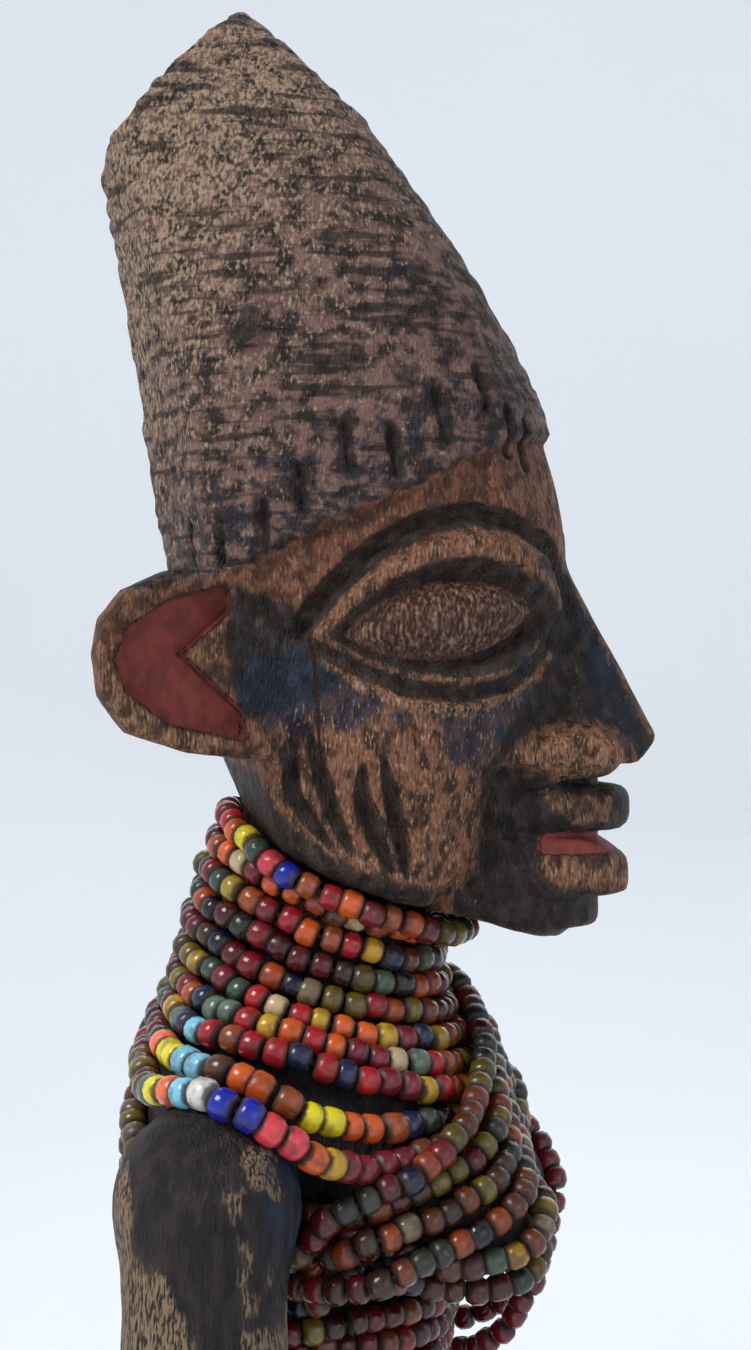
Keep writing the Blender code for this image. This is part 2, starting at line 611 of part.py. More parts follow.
def body_clearance(points, body, laid):
    """How far bead centres are from lying on the body and on the strings laid before."""
    gap = body(np.abs(points[:, 0]), points[:, 1], points[:, 2]) - BEAD_RADIUS - BEAD_GAP
    if len(laid):
        apart = np.sqrt(squared_gaps(points, laid).min(axis=1))
        gap = np.minimum(gap, apart - 2.0 * BEAD_RADIUS)
    return gap


def stacked_loops(body, origin, axis, starts, lengths, laid):
    """Loops wound about an axis, each lying a given way down the surface from the first."""
    axis = np.array(axis) / np.linalg.norm(axis)
    ahead = np.array((0.0, 1.0, 0.0))
    ahead = ahead - axis * ahead.dot(axis)
    ahead = ahead / np.linalg.norm(ahead)
    aside = np.cross(ahead, axis)
    angles = np.linspace(0.0, 2.0 * math.pi, LOOP_SAMPLES, endpoint=False)
    outward = np.cos(angles)[:, None] * ahead + np.sin(angles)[:, None] * aside
    reach = np.full(LOOP_SAMPLES, 40.0)
    height = starts(angles)

    def place(at_reach, at_height):
        return np.array(origin) + outward * at_reach[:, None] + axis * at_height[:, None]

    for _ in range(70):
        reach = reach - 0.7 * body_clearance(place(reach, height), body, laid)
    track = [place(reach, height)]
    probe = 0.05
    for _ in range(int(lengths.max() / MARCH_STEP) + 2):
        here = body_clearance(place(reach, height), body, laid)
        slope_out = (body_clearance(place(reach + probe, height), body, laid) - here) / probe
        slope_up = (body_clearance(place(reach, height + probe), body, laid) - here) / probe
        size = np.maximum(np.hypot(slope_out, slope_up), 0.3)
        normal_out = slope_out / size
        normal_up = slope_up / size
        reach = reach + MARCH_STEP * normal_up - here / size * normal_out
        height = height - MARCH_STEP * normal_out - here / size * normal_up
        track.append(place(reach, height))
    track = np.array(track)
    steps = np.linalg.norm(np.diff(track, axis=0), axis=2)
    walked = np.concatenate((np.zeros((1, LOOP_SAMPLES)), np.cumsum(steps, axis=0)))
    loops = []
    for wanted in lengths:
        loop = np.empty((LOOP_SAMPLES, 3))
        for k in range(LOOP_SAMPLES):
            for part in range(3):
                loop[k, part] = np.interp(wanted[k], walked[:, k], track[:, k, part])
        loops.append(loop)
    return loops


def loop_length(loop):
    """Length round a closed loop."""
    return np.linalg.norm(loop - np.roll(loop, -1, axis=0), axis=1).sum()


def evened(loop, count):
    """A closed loop as so many evenly spaced points."""
    closed = np.vstack((loop, loop[:1]))
    walked = np.concatenate(([0.0], np.cumsum(np.linalg.norm(np.diff(closed, axis=0), axis=1))))
    wanted = np.linspace(0.0, walked[-1], count, endpoint=False)
    return np.stack([np.interp(wanted, walked, closed[:, k]) for k in range(3)], axis=1)


def resampled(loop, spacing):
    """A closed loop with its points about a spacing apart."""
    return evened(loop, max(8, int(round(loop_length(loop) / spacing))))


def rounded_loop(corners):
    """A smooth closed curve through a few points."""
    corners = np.array(corners)
    pieces = []
    t = np.linspace(0.0, 1.0, 12, endpoint=False)[:, None]
    for k in range(len(corners)):
        p0, p1, p2, p3 = (corners[(k + offset) % len(corners)] for offset in (-1, 0, 1, 2))
        pieces.append(0.5 * (2.0 * p1 + (p2 - p0) * t + (2.0 * p0 - 5.0 * p1 + 4.0 * p2 - p3) * t ** 2
                             + (3.0 * p1 - p0 - 3.0 * p2 + p3) * t ** 3))
    return np.vstack(pieces)


def settled(loops, rounds):
    """Push the strings clear of the wood and of each other, keeping each one smooth."""
    loops = [resampled(loop, BEAD_RADIUS * 1.6) for loop in loops]
    owner = np.concatenate([np.full(len(loop), k) for k, loop in enumerate(loops)])
    ends = np.cumsum([len(loop) for loop in loops])[:-1]
    points = np.vstack(loops)
    other = owner[:, None] != owner[None, :]
    wanted = 2.0 * BEAD_RADIUS + STRING_PLAY
    probe = 0.05
    for turn in range(rounds):
        ease = 0.3 * min(1.0, 2.0 - 2.0 * turn / rounds)
        for loop in np.split(np.arange(len(points)), ends):
            middle = 0.5 * (points[np.roll(loop, 1)] + points[np.roll(loop, -1)])
            points[loop] = evened(points[loop] + ease * (middle - points[loop]), len(loop))
        for _ in range(2):
            first, second = np.nonzero(other & (squared_gaps(points, points) < wanted ** 2))
            away = points[first] - points[second]
            apart = np.linalg.norm(away, axis=1)[:, None] + 1e-9
            shift = np.zeros_like(points)
            np.add.at(shift, first, away * (wanted - apart) / apart)
            crowd = np.maximum(np.bincount(first, minlength=len(points)), 1)
            points += 0.7 * shift / crowd[:, None]
            gap = wood_distance(*points.T) - BEAD_RADIUS - BEAD_GAP
            low = gap < 0.0
            if low.any():
                at = points[low]
                slopes = []
                for k in range(3):
                    moved = at.copy()
                    moved[:, k] += probe
                    slopes.append((wood_distance(*moved.T) - BEAD_RADIUS - BEAD_GAP - gap[low]) / probe)
                slopes = np.stack(slopes, axis=1)
                size = np.maximum((slopes ** 2).sum(axis=1), 0.2)
                points[low] -= slopes * (gap[low] / size)[:, None]
    return np.split(points, ends)


def bead_strings():
    """Centre lines of all the strings of beads, by name."""
    pitch = 2.0 * BEAD_RADIUS + 0.06
    angles = np.linspace(0.0, 2.0 * math.pi, LOOP_SAMPLES, endpoint=False)
    aside = np.sin(angles) ** 4
    lengths = np.array([k * pitch + NECK_SPREAD[k] * aside for k in range(NECK_RINGS)])
    rings = stacked_loops(trunk_with_shoulders, NECK_ORIGIN, (0.0, 0.0, 1.0),
                          lambda a: -NECK_TILT * np.cos(a), lengths, np.empty((0, 3)))
    names = [f"neck_ring_{k + 1:02d}" for k in range(NECK_RINGS)]
    laid = np.vstack([resampled(loop, 1.0) for loop in rings])
    lengths = np.array([np.full(LOOP_SAMPLES, k * pitch) for k in range(SASH_STRANDS)])
    sash = stacked_loops(trunk, SASH_ORIGIN, SASH_AXIS, lambda a: np.full(a.shape, SASH_START), lengths, laid)
    names += [f"sash_{k + 1}" for k in range(SASH_STRANDS)]
    laid = np.vstack([laid] + [resampled(loop, 1.0) for loop in sash])
    lengths = np.array([np.full(LOOP_SAMPLES, k * pitch) for k in range(WAIST_STRANDS)])
    waist = stacked_loops(trunk, WAIST_ORIGIN, (0.0, 0.0, 1.0), lambda a: np.zeros(a.shape), lengths, laid)
    names += [f"waist_{k + 1}" for k in range(WAIST_STRANDS)]
    hanging = [rounded_loop(corners) for corners in HANGING_LOOPS]
    names += [f"hanging_{k + 1}" for k in range(len(HANGING_LOOPS))]
    loops = settled(rings + sash + waist + hanging, SETTLING_ROUNDS)
    return dict(zip(names, loops))


def in_metres(points):
    """Carving places (x, forward, level) as world places."""
    placed = np.empty_like(points)
    placed[:, 0] = points[:, 0] * STEP
    placed[:, 1] = -points[:, 1] * STEP
    placed[:, 2] = BASE_HEIGHT + (points[:, 2] - SOLE_LEVEL) * STEP
    return placed


def principled(name, colour, roughness):
    """A plain material."""
    material = bpy.data.materials.new(name)
    material.use_nodes = True
    shader = material.node_tree.nodes["Principled BSDF"]
    shader.inputs["Base Color"].default_value = (*colour, 1.0)
    shader.inputs["Roughness"].default_value = roughness
    shader.inputs["Metallic"].default_value = 0.0
    material.diffuse_color = (*colour, 1.0)
    return material


def bead_tube(name, loop, colour, collection):
    """One string of beads as a plain closed tube."""
    curve = bpy.data.curves.new(name, "CURVE")
    curve.dimensions = "3D"
    curve.bevel_depth = BEAD_DIAMETER / 2.0 - TUBE_SHORTFALL
    curve.bevel_resolution = 0
    places = in_metres(resampled(loop, TUBE_SPACING))
    spline = curve.splines.new("POLY")
    spline.points.add(len(places) - 1)
    spline.use_cyclic_u = True
    for point, place in zip(spline.points, places):
        point.co = (*place, 1.0)
    curve.materials.append(principled(name, colour, 0.2))
    collection.objects.link(bpy.data.objects.new(name, curve))


def base_blank(collection):
    """The round base, a turned disc that is joined to the feet."""
    bpy.ops.mesh.primitive_cylinder_add(vertices=BASE_SIDES, radius=BASE_RADIUS, depth=BASE_HEIGHT,
                                        location=(0.0, 0.0, BASE_HEIGHT / 2.0))
    disc = bpy.context.object
    disc.name = "base_blank"
    for owner in list(disc.users_collection):
        owner.objects.unlink(disc)
    collection.objects.link(disc)
    edge = disc.modifiers.new("edge", "BEVEL")
    edge.width = BASE_EDGE
    edge.segments = 1
    disc.hide_render = True
    disc.display_type = "WIRE"
    return disc


def carved_figure(disc, collection):
    """The whole carving as one piece of wood."""
    points, quads = surface_points(wood_distance, CARVING_LOW, CARVING_HIGH, SURFACE_SPACING)
    mesh = bpy.data.meshes.new("figure")
    mesh.from_pydata(in_metres(points).tolist(), [], quads.tolist())
    mesh.materials.append(principled("carved_wood", (0.11, 0.075, 0.05), 0.65))
    figure = bpy.data.objects.new("figure", mesh)
    collection.objects.link(figure)
    plain = figure.modifiers.new("plain", "DECIMATE")
    plain.ratio = WOOD_TRIANGLES / (2.0 * len(quads))
    join = figure.modifiers.new("join", "BOOLEAN")
    join.operation = "UNION"
    join.object = disc


def main():
    """Build every piece."""
    for item in list(bpy.data.objects):
        bpy.data.objects.remove(item, do_unlink=True)
    parts = bpy.data.collections.new("ibeji_figure")
    cutters = bpy.data.collections.new("joined_blanks")
    bpy.context.scene.collection.children.link(parts)
    bpy.context.scene.collection.children.link(cutters)
    disc = base_blank(cutters)
    carved_figure(disc, parts)
    for name, loop in bead_strings().items():
        family = name.split("_")[0]
        bead_tube(name, loop, BEAD_COLOURS[family], parts)


main()
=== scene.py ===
# Looks of a carved wooden twin figure (ibeji): weathered, sooted and painted wood, hung with strings
# of glass beads. The figure looks toward -Y and its right hand is at -X.

import math

import bpy
import numpy as np
import openvdb
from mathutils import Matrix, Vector


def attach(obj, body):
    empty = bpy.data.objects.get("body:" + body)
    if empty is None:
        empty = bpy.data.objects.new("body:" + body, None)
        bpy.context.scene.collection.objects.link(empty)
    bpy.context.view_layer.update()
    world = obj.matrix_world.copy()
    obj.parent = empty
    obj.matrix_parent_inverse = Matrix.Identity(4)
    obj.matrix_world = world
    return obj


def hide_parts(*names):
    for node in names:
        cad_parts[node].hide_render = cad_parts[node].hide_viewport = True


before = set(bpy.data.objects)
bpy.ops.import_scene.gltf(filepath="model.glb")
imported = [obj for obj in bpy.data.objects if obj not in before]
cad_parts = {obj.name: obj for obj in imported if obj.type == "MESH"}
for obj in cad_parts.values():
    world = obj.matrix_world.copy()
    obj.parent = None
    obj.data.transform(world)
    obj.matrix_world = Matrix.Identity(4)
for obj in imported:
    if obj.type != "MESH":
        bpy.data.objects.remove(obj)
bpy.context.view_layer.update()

# Sizes of the carving in metres, and its steps: one step is a 289th of its height. FAR is a distance
# in steps that counts as nowhere near, TINY and LEAST_SLOPE keep divisions safe, and CARVED_EDGE is how
# far carved edges and joins are rounded.
CARVING_HEIGHT = 0.289
BASE_HEIGHT = 0.011
BASE_RADIUS = 0.034
SOLE_LEVEL = 11.0
CROWN_LEVEL = 300.0
STEP = CARVING_HEIGHT / (CROWN_LEVEL - SOLE_LEVEL)
SOLE_SINK = 0.6
FAR = 30.0
TINY = 1e-6
LEAST_SLOPE = 1e-3
CARVED_EDGE = 0.8


def smooth_min(a, b, reach):
    """Join two distances with a fillet."""
    overlap = np.maximum(reach - np.abs(a - b), 0.0)
    return np.minimum(a, b) - overlap * overlap / (4.0 * reach)


def smooth_max(a, b, reach):
    """Cut one distance with another, leaving a rounded edge."""
    return -smooth_min(-a, -b, reach)


def ramp(value):
    """A soft step from 0 to 1."""
    t = np.clip(value, 0.0, 1.0)
    return t * t * (3.0 - 2.0 * t)


def smooth_table(rows, reach):
    """Columns of a table of sections, sampled each half step and rounded off over a reach."""
    table = np.array(rows, dtype=float)
    levels = np.arange(table[0, 0], table[-1, 0] + 0.25, 0.5)
    columns = [np.interp(levels, table[:, 0], table[:, k]) for k in range(1, table.shape[1])]
    count = int(reach)
    kernel = np.ones(2 * count + 1) / (2 * count + 1)
    smooth = []
    for column in columns:
        slope_low = column[1] - column[0]
        slope_high = column[-1] - column[-2]
        steps = np.arange(1, count + 1)
        padded = np.concatenate((column[0] - slope_low * steps[::-1], column,
                                 column[-1] + slope_high * steps))
        smooth.append(np.convolve(padded, kernel, mode="valid"))
    return levels, smooth


def section_at(table, level):
    """Back, front and half width of a form at a level."""
    levels, columns = table
    return [np.interp(level, levels, column) for column in columns]


def line_at(line, place):
    """Second number of a drawn line, at a place along its first."""
    return np.interp(place, *np.transpose(line))


def section_reach(forward, back, front, middle_share):
    """Middle of a level section, and how far it reaches from there toward a point."""
    middle = back + middle_share * (front - back)
    return middle, np.where(forward > middle, front - middle, middle - back)


def rounded_box(side, ahead, half, reach, power):
    """How far out a point lies in a level section as a share, how fast that grows, and its share ahead."""
    across = side / half
    along = ahead / reach
    norm = (across ** power + along ** power) ** (1.0 / power) + TINY
    return norm, np.hypot(across ** (power - 1) / half, along ** (power - 1) / reach), along


def outside(level, low, high):
    """How far a level lies outside a span of levels, less than 0 inside it."""
    return np.maximum(level - high, low - level)


def stacked_sections(side, forward, level, table, middle_share, power):
    """Distance to a form whose level sections are rounded boxes: back, front and half width."""
    levels, (_, front, half) = table
    back_here, front_here, half_here = section_at(table, level)
    middle, reach = section_reach(forward, back_here, front_here, middle_share)
    norm, gradient, along = rounded_box(side, np.abs(forward - middle), half_here, reach, power)
    gradient = gradient / norm ** (power - 1)
    front_slope = np.interp(level, levels, np.gradient(front, levels))
    half_slope = np.interp(level, levels, np.gradient(half, levels))
    share = (along / norm) ** 2
    lean = share * np.where(forward > middle, front_slope, 0.0) + (1.0 - share) * half_slope
    return (norm - 1.0) / np.maximum(gradient, LEAST_SLOPE) / np.sqrt(1.0 + lean * lean)


def ellipsoid(side, forward, level, centre, radii):
    """Distance to an ellipsoid, near enough close to its surface."""
    p = ((side - centre[0]) / radii[0], (forward - centre[1]) / radii[1],
         (level - centre[2]) / radii[2])
    outer = np.sqrt(p[0] ** 2 + p[1] ** 2 + p[2] ** 2) + TINY
    inner = np.sqrt((p[0] / radii[0]) ** 2 + (p[1] / radii[1]) ** 2 + (p[2] / radii[2]) ** 2)
    return outer * (outer - 1.0) / (inner + TINY)


def limb(side, forward, level, joints):
    """Distance to a chain of tapered round rods through joints (side, forward, level, radius)."""
    nearest = np.full(side.shape, FAR)
    for start, end in zip(joints[:-1], joints[1:]):
        run = [end[k] - start[k] for k in range(4)]
        off = (side - start[0], forward - start[1], level - start[2])
        t = off[0] * run[0] + off[1] * run[1] + off[2] * run[2]
        t = np.clip(t / (run[0] ** 2 + run[1] ** 2 + run[2] ** 2), 0.0, 1.0)
        gap = np.sqrt((off[0] - t * run[0]) ** 2 + (off[1] - t * run[1]) ** 2 + (off[2] - t * run[2]) ** 2)
        nearest = smooth_min(nearest, gap - start[3] - t * run[3], 1.5)
    return nearest


def stroke(across, level, points):
    """Distance in the plane of the cheek from a carved line drawn through points."""
    nearest = np.full(across.shape, FAR)
    for (a0, l0), (a1, l1) in zip(points[:-1], points[1:]):
        da = a1 - a0
        dl = l1 - l0
        t = np.clip(((across - a0) * da + (level - l0) * dl) / (da * da + dl * dl), 0.0, 1.0)
        nearest = np.minimum(nearest, np.hypot(across - a0 - t * da, level - l0 - t * dl))
    return nearest


# Head and coiffure: level, back, front, half width of the outer surface
HEAD_SECTIONS = smooth_table((
    (186, -8.0, 21.0, 14.0),
    (196, -8.5, 23.0, 16.5),
    (204, -9.8, 24.6, 18.3),
    (212, -11.5, 27.2, 19.4),
    (217, -12.6, 29.6, 19.8),
    (222, -13.8, 30.4, 20.0),
    (230, -15.2, 30.9, 20.0),
    (240, -17.1, 30.9, 19.6),
    (246, -18.1, 29.9, 19.2),
    (252, -19.0, 27.9, 18.7),
    (258, -19.9, 25.3, 18.0),
    (268, -21.6, 20.2, 16.1),
    (278, -23.4, 13.5, 13.4),
    (284, -24.5, 9.3, 11.4),
    (290, -25.5, 4.5, 9.0),
    (296, -26.5, -1.8, 6.0),
    (301, -27.3, -7.4, 3.0),
    (306, -28.1, -13.5, 1.0),
), 4)
HEAD_MIDDLE = 0.44
HEAD_POWER = 2.4
CROWN_CORNER = (-24.4, 282.4)
CROWN_TIP = (-8.3, 300.4)

# Hairline, forward and level, and how far the coiffure stands out from the face
HAIRLINE = ((-30.0, 231.0), (-12.0, 233.0), (-4.0, 235.2), (2.5, 238.6), (7.3, 241.0),
            (12.0, 243.0), (16.2, 245.0), (20.3, 247.4), (24.2, 249.6), (28.0, 251.0), (40.0, 252.0))
HAIR_STEP = 1.2

# Planes that trim the head: along the top of the coiffure, down its front and back ridges, and
# under the jaw. A facet is given as its share forward, its share sideways and its cut.
CROWN_CURVE = 0.012
JAW_CURVE = 0.006
JAW_DROP = 0.8
JAW_LEAN = 0.85
FRONT_FACET = (0.72, 0.30, 0.74)
BACK_FACET = (0.86, 0.48, 0.6)
FACET_LEVEL = 240.0

# Carved lines on the side of the face, as forward and level on its surface
EYE_OUTER = (6.4, 228.2)
EYE_INNER = (27.8, 231.6)
EYE_HALF_HEIGHT = 4.6
BROW_GROOVE = ((1.8, 228.3), (6.1, 233.6), (10.4, 237.4), (15.5, 240.2), (20.4, 241.4),
               (25.0, 240.6), (28.7, 237.9), (29.6, 233.5))
UPPER_LID = ((3.6, 227.8), (7.2, 231.9), (11.6, 235.3), (16.4, 237.4), (21.0, 238.0),
             (25.1, 236.6), (27.9, 233.6), (28.6, 231.4))
LOWER_LID = ((4.6, 228.2), (9.3, 225.6), (14.0, 224.0), (20.0, 223.4), (25.1, 224.7), (28.2, 230.0))
CRESCENT = ((5.2, 226.2), (9.0, 223.3), (13.8, 221.1), (19.1, 220.5), (23.9, 222.0), (28.2, 226.3))
LOWER_GROOVE = ((3.4, 227.4), (9.2, 224.5), (13.9, 222.5), (19.6, 221.9), (24.6, 223.3),
                (28.6, 228.0), (29.3, 231.5))
SCARS = (((2.3, 218.8), (1.2, 215.6), (1.4, 211.3), (3.2, 208.4), (5.9, 205.3)),
         ((3.0, 218.6), (4.6, 213.4), (5.8, 209.2), (7.9, 204.8)),
         ((9.3, 214.6), (9.0, 210.8), (10.3, 206.8), (12.2, 202.8)),
         ((11.5, 215.1), (12.4, 210.2), (13.2, 205.4), (13.6, 202.2)))
CHEEK_EDGE = ((24.4, 214.0), (22.6, 210.6), (22.0, 206.2), (20.8, 202.8), (17.5, 199.6))
HAIR_NOTCHES = ((-12.0, 238.6), (-6.1, 238.4), (-1.4, 240.1), (2.5, 243.8), (7.1, 248.0),
                (11.9, 247.9), (16.4, 251.8), (20.2, 254.8), (23.6, 250.6), (26.0, 249.4))
NOTCH_HALF_HEIGHT = 2.4
NOTCH_LEAN = 0.4

# Relief of the eye: depth of the socket, its margin below and above the eye, rise of the ball
SOCKET_DEPTH = 2.2
SOCKET_MARGIN = (0.8, 2.2)
SOCKET_EDGE = 0.9
BALL_RISE = 3.7

# Ridges along a line: height, fall to the sides, half width of the top and fillet
UPPER_LID_FORM = (1.1, 1.3, 0.9, 0.4)
LOWER_LID_FORM = (0.4, 1.6, 0.35, 0.3)
CRESCENT_FORM = (0.6, 0.7, 0.2, 0.5)

# Cuts along a line: depth and half width
BROW_CUT = (1.9, 1.4)
LOWER_CUT = (1.0, 0.9)
CHEEK_CUT = (1.6, 2.0)
SCAR_CUT = (1.9, 1.2)
SCAR_TAPER = 1.0
NOTCH_CUT = (1.3, 0.8)


def face_reach(forward, level):
    """How far round the face a surface point lies, from the middle of the front."""
    back_here, front_here, half_here = section_at(HEAD_SECTIONS, level)
    front_here = front_here - HAIR_STEP
    half_here = half_here - HAIR_STEP
    middle, reach = section_reach(forward, back_here, front_here, HEAD_MIDDLE)
    along = np.clip(np.abs(forward - middle) / reach, 0.0, 1.0)
    side = half_here * (1.0 - along ** HEAD_POWER) ** (1.0 / HEAD_POWER)
    return chart_across(side, forward, level)


# The chart unrolls the face: the angle about the head's middle turned into length round a mean section
CHART_ANGLES = np.linspace(0.0, math.pi, 181)
CHART_HALF = 18.8
CHART_FRONT = 24.0
CHART_BACK = 19.0


def chart_lengths():
    """Length round the mean section for each chart angle."""
    reach = np.where(CHART_ANGLES < math.pi / 2, CHART_FRONT, CHART_BACK)
    sine = np.abs(np.sin(CHART_ANGLES))
    cosine = np.abs(np.cos(CHART_ANGLES))
    radius = ((sine / CHART_HALF) ** HEAD_POWER + (cosine / reach) ** HEAD_POWER) ** (-1.0 / HEAD_POWER)
    side = radius * np.sin(CHART_ANGLES)
    forward = radius * np.cos(CHART_ANGLES)
    steps = np.hypot(np.diff(side), np.diff(forward))
    return np.concatenate(([0.0], np.cumsum(steps)))


CHART_LENGTHS = chart_lengths()


def chart_across(side, forward, level):
    """Length round the face from the middle of the front to the direction of a point."""
    back_here, front_here, _ = section_at(HEAD_SECTIONS, level)
    middle, _ = section_reach(forward, back_here, front_here, HEAD_MIDDLE)
    angle = np.arctan2(side, forward - middle)
    return np.interp(angle, CHART_ANGLES, CHART_LENGTHS)


def charted(points):
    """Turn carved points (forward, level) into chart places (length round, level)."""
    return [(float(face_reach(np.array(f), np.array(l))), l) for f, l in points]


def drawn(across, level, line):
    """Distance in the plane of the cheek from a line drawn in forward and level."""
    return stroke(across, level, charted(line))


def notches(across, level):
    """Distance from each of the short upright cuts along the hairline."""
    for a, l in charted(HAIR_NOTCHES):
        yield stroke(across, level, ((a, l - NOTCH_HALF_HEIGHT), (a - NOTCH_LEAN, l + NOTCH_HALF_HEIGHT)))


def scar_distance(across, level, scar):
    """Distance from a cheek mark, grown toward its ends so that the cut runs out to points."""
    low = min(l for _, l in scar)
    high = max(l for _, l in scar)
    share = np.abs(2.0 * level - low - high) / (high - low)
    return drawn(across, level, scar) + SCAR_TAPER * np.maximum(share - 0.15, 0.0) ** 2


def groove(relief, line, cut):
    """Cut a V groove into the relief along a line of distances."""
    depth, half_width = cut
    return smooth_min(relief, -depth + line * depth / half_width, 0.15)


def ridge(relief, line, form):
    """Raise a ridge out of the relief along a line of distances."""
    height, fall, half_top, fillet = form
    return smooth_max(relief, height - fall * np.maximum(line - half_top, 0.0), fillet)


def eye_lens(across, level):
    """Distance from the almond of the eye, less than 0 inside it."""
    (a0, l0), (a1, l1) = charted((EYE_OUTER, EYE_INNER))
    centre = (0.5 * (a0 + a1), 0.5 * (l0 + l1))
    half = 0.5 * math.hypot(a1 - a0, l1 - l0)
    tilt = math.atan2(l1 - l0, a1 - a0)
    u = (across - centre[0]) * math.cos(tilt) + (level - centre[1]) * math.sin(tilt)
    v = -(across - centre[0]) * math.sin(tilt) + (level - centre[1]) * math.cos(tilt)
    radius = (half ** 2 + EYE_HALF_HEIGHT ** 2) / (2.0 * EYE_HALF_HEIGHT)
    return np.hypot(u, np.abs(v) + radius - EYE_HALF_HEIGHT) - radius


def face_relief(side, forward, level):
    """Height of the carving over the plain side of the face."""
    across = chart_across(side, forward, level)
    lens = eye_lens(across, level)
    below, above = SOCKET_MARGIN
    socket = below + (above - below) * ramp((level - EYE_INNER[1] + 2.0) / 3.0)
    relief = -SOCKET_DEPTH * ramp((socket - lens) / SOCKET_EDGE)
    ball = np.sqrt(np.clip(-lens / EYE_HALF_HEIGHT, 0.0, 1.0))
    relief = smooth_max(relief, BALL_RISE * ball - SOCKET_DEPTH, 0.3)
    for line, form in ((UPPER_LID, UPPER_LID_FORM), (LOWER_LID, LOWER_LID_FORM), (CRESCENT, CRESCENT_FORM)):
        relief = ridge(relief, drawn(across, level, line), form)
    for line, cut in ((BROW_GROOVE, BROW_CUT), (LOWER_GROOVE, LOWER_CUT), (CHEEK_EDGE, CHEEK_CUT)):
        relief = groove(relief, drawn(across, level, line), cut)
    for scar in SCARS:
        relief = groove(relief, scar_distance(across, level, scar), SCAR_CUT)
    return relief


def notch_relief(side, forward, level):
    """Short upright cuts along the hairline."""
    relief = np.zeros(side.shape)
    for notch in notches(chart_across(side, forward, level), level):
        relief = groove(relief, notch, NOTCH_CUT)
    return np.minimum(relief, 0.0)


def block(side, forward, level, centre, radii, power, low, high, edge):
    """An upright rounded block: a level section between two levels with soft edges."""
    norm, gradient, _ = rounded_box(np.abs(side - centre[0]), np.abs(forward - centre[1]), *radii, power)
    wall = (norm - 1.0) * norm ** (power - 1) / np.maximum(gradient, LEAST_SLOPE)
    return smooth_max(wall, outside(level, low, high), edge)


# Nose, as forward and level: the ridge's upper end and slope, its half width, and how far the
# walls run out for each step back from the ridge
NOSE_TOP = (29.4, 237.0)
NOSE_SLOPE = 0.535
NOSE_RIDGE_HALF = 1.3
NOSE_WALL_LEVELS = (212.0, 218.0, 228.0, 238.0)
NOSE_WALL_RUN = (0.66, 0.60, 0.55, 0.80)
NOSE_UNDERSIDE = 214.2
NOSE_TIP = (39.9, 216.8)
NOSE_TIP_LEAN = math.radians(36.9)
NOSE_BACK = 20.0
NOSE_END = 240.0
WING = ((6.6, 30.6, 215.6), (4.4, 6.0, 3.0))
WING_UNDERSIDE = 213.2


def nose(side, forward, level):
    """A long straight nose with a worn ridge and broad wings."""
    line = NOSE_TOP[0] + (NOSE_TOP[1] - level) * NOSE_SLOPE
    run = np.interp(level, NOSE_WALL_LEVELS, NOSE_WALL_RUN)
    wall = (side - NOSE_RIDGE_HALF - run * (line - forward)) / np.sqrt(1.0 + run ** 2)
    front = (forward - line) / math.hypot(1.0, NOSE_SLOPE)
    tip = (forward - NOSE_TIP[0]) * math.cos(NOSE_TIP_LEAN) - (level - NOSE_TIP[1]) * math.sin(NOSE_TIP_LEAN)
    end = smooth_max(NOSE_UNDERSIDE - level, tip, CARVED_EDGE)
    body = smooth_max(smooth_max(wall, front, CARVED_EDGE), end, CARVED_EDGE)
    body = smooth_max(body, level - NOSE_END, 2.0)
    body = smooth_max(body, NOSE_BACK - forward, 1.0)
    wing = ellipsoid(side, forward, level, *WING)
    wing = smooth_max(wing, WING_UNDERSIDE - level, 0.6)
    return smooth_min(body, wing, 1.0)


# Lips, the gum between them and the chin, as blocks: middle (side, forward), half width and
# reach, squareness, lower and upper level, and rounding of the edges
UPPER_LIP = ((0.0, 24.4), (9.4, 12.6), 2.2, 206.8, 211.8, 2.0)
LOWER_LIP = ((0.0, 24.4), (9.4, 12.4), 2.2, 199.6, 206.1, 1.2)
GUM = ((0.0, 22.0), (8.8, 11.4), 2.2, 196.0, 214.0, 1.0)
CHIN = ((0.0, 19.5), (10.4, 10.9), 2.5, 194.6, 201.0, 2.2)
LIP_SLANT_AT = (36.8, 203.6)
LIP_SLANT = math.radians(60)


def mouth(side, forward, level):
    """Two full lips that stand out like shelves over a set back chin."""
    upper = block(side, forward, level, *UPPER_LIP)
    lower = block(side, forward, level, *LOWER_LIP)
    slant = (forward - LIP_SLANT_AT[0]) * math.cos(LIP_SLANT)
    slant = slant + (level - LIP_SLANT_AT[1]) * math.sin(LIP_SLANT)
    lower = smooth_max(lower, slant, CARVED_EDGE)
    lips = np.minimum(np.minimum(upper, lower), block(side, forward, level, *GUM))
    return smooth_min(lips, block(side, forward, level, *CHIN), CARVED_EDGE)


# Ear: a thick upright leaf that stands back and out from the head, drawn as forward and level
EAR_ROOT = (18.6, -3.4)
EAR_FLARE = math.radians(30)
EAR_OUTLINE = ((1.0, 235.4), (-7.3, 235.6), (-11.0, 235.1), (-15.0, 233.1), (-17.2, 230.1),
               (-17.8, 226.2), (-17.3, 221.8), (-14.8, 218.0), (-9.2, 215.9), (-4.0, 215.2), (1.0, 215.0))
EAR_HOLLOW = ((-5.9, 233.4), (-11.1, 231.9), (-15.0, 229.0), (-16.2, 225.6), (-15.1, 222.4),
              (-11.1, 219.0), (-3.8, 217.2), (-4.3, 220.2), (-10.1, 226.2), (-5.4, 231.0))
EAR_HALF_THICK = 2.1
EAR_DEPTH = 2.4


def ear_line(points):
    """Turn ear points (forward, level) into places along the leaf and up it."""
    return [((EAR_ROOT[1] - f) / math.cos(EAR_FLARE), l) for f, l in points]


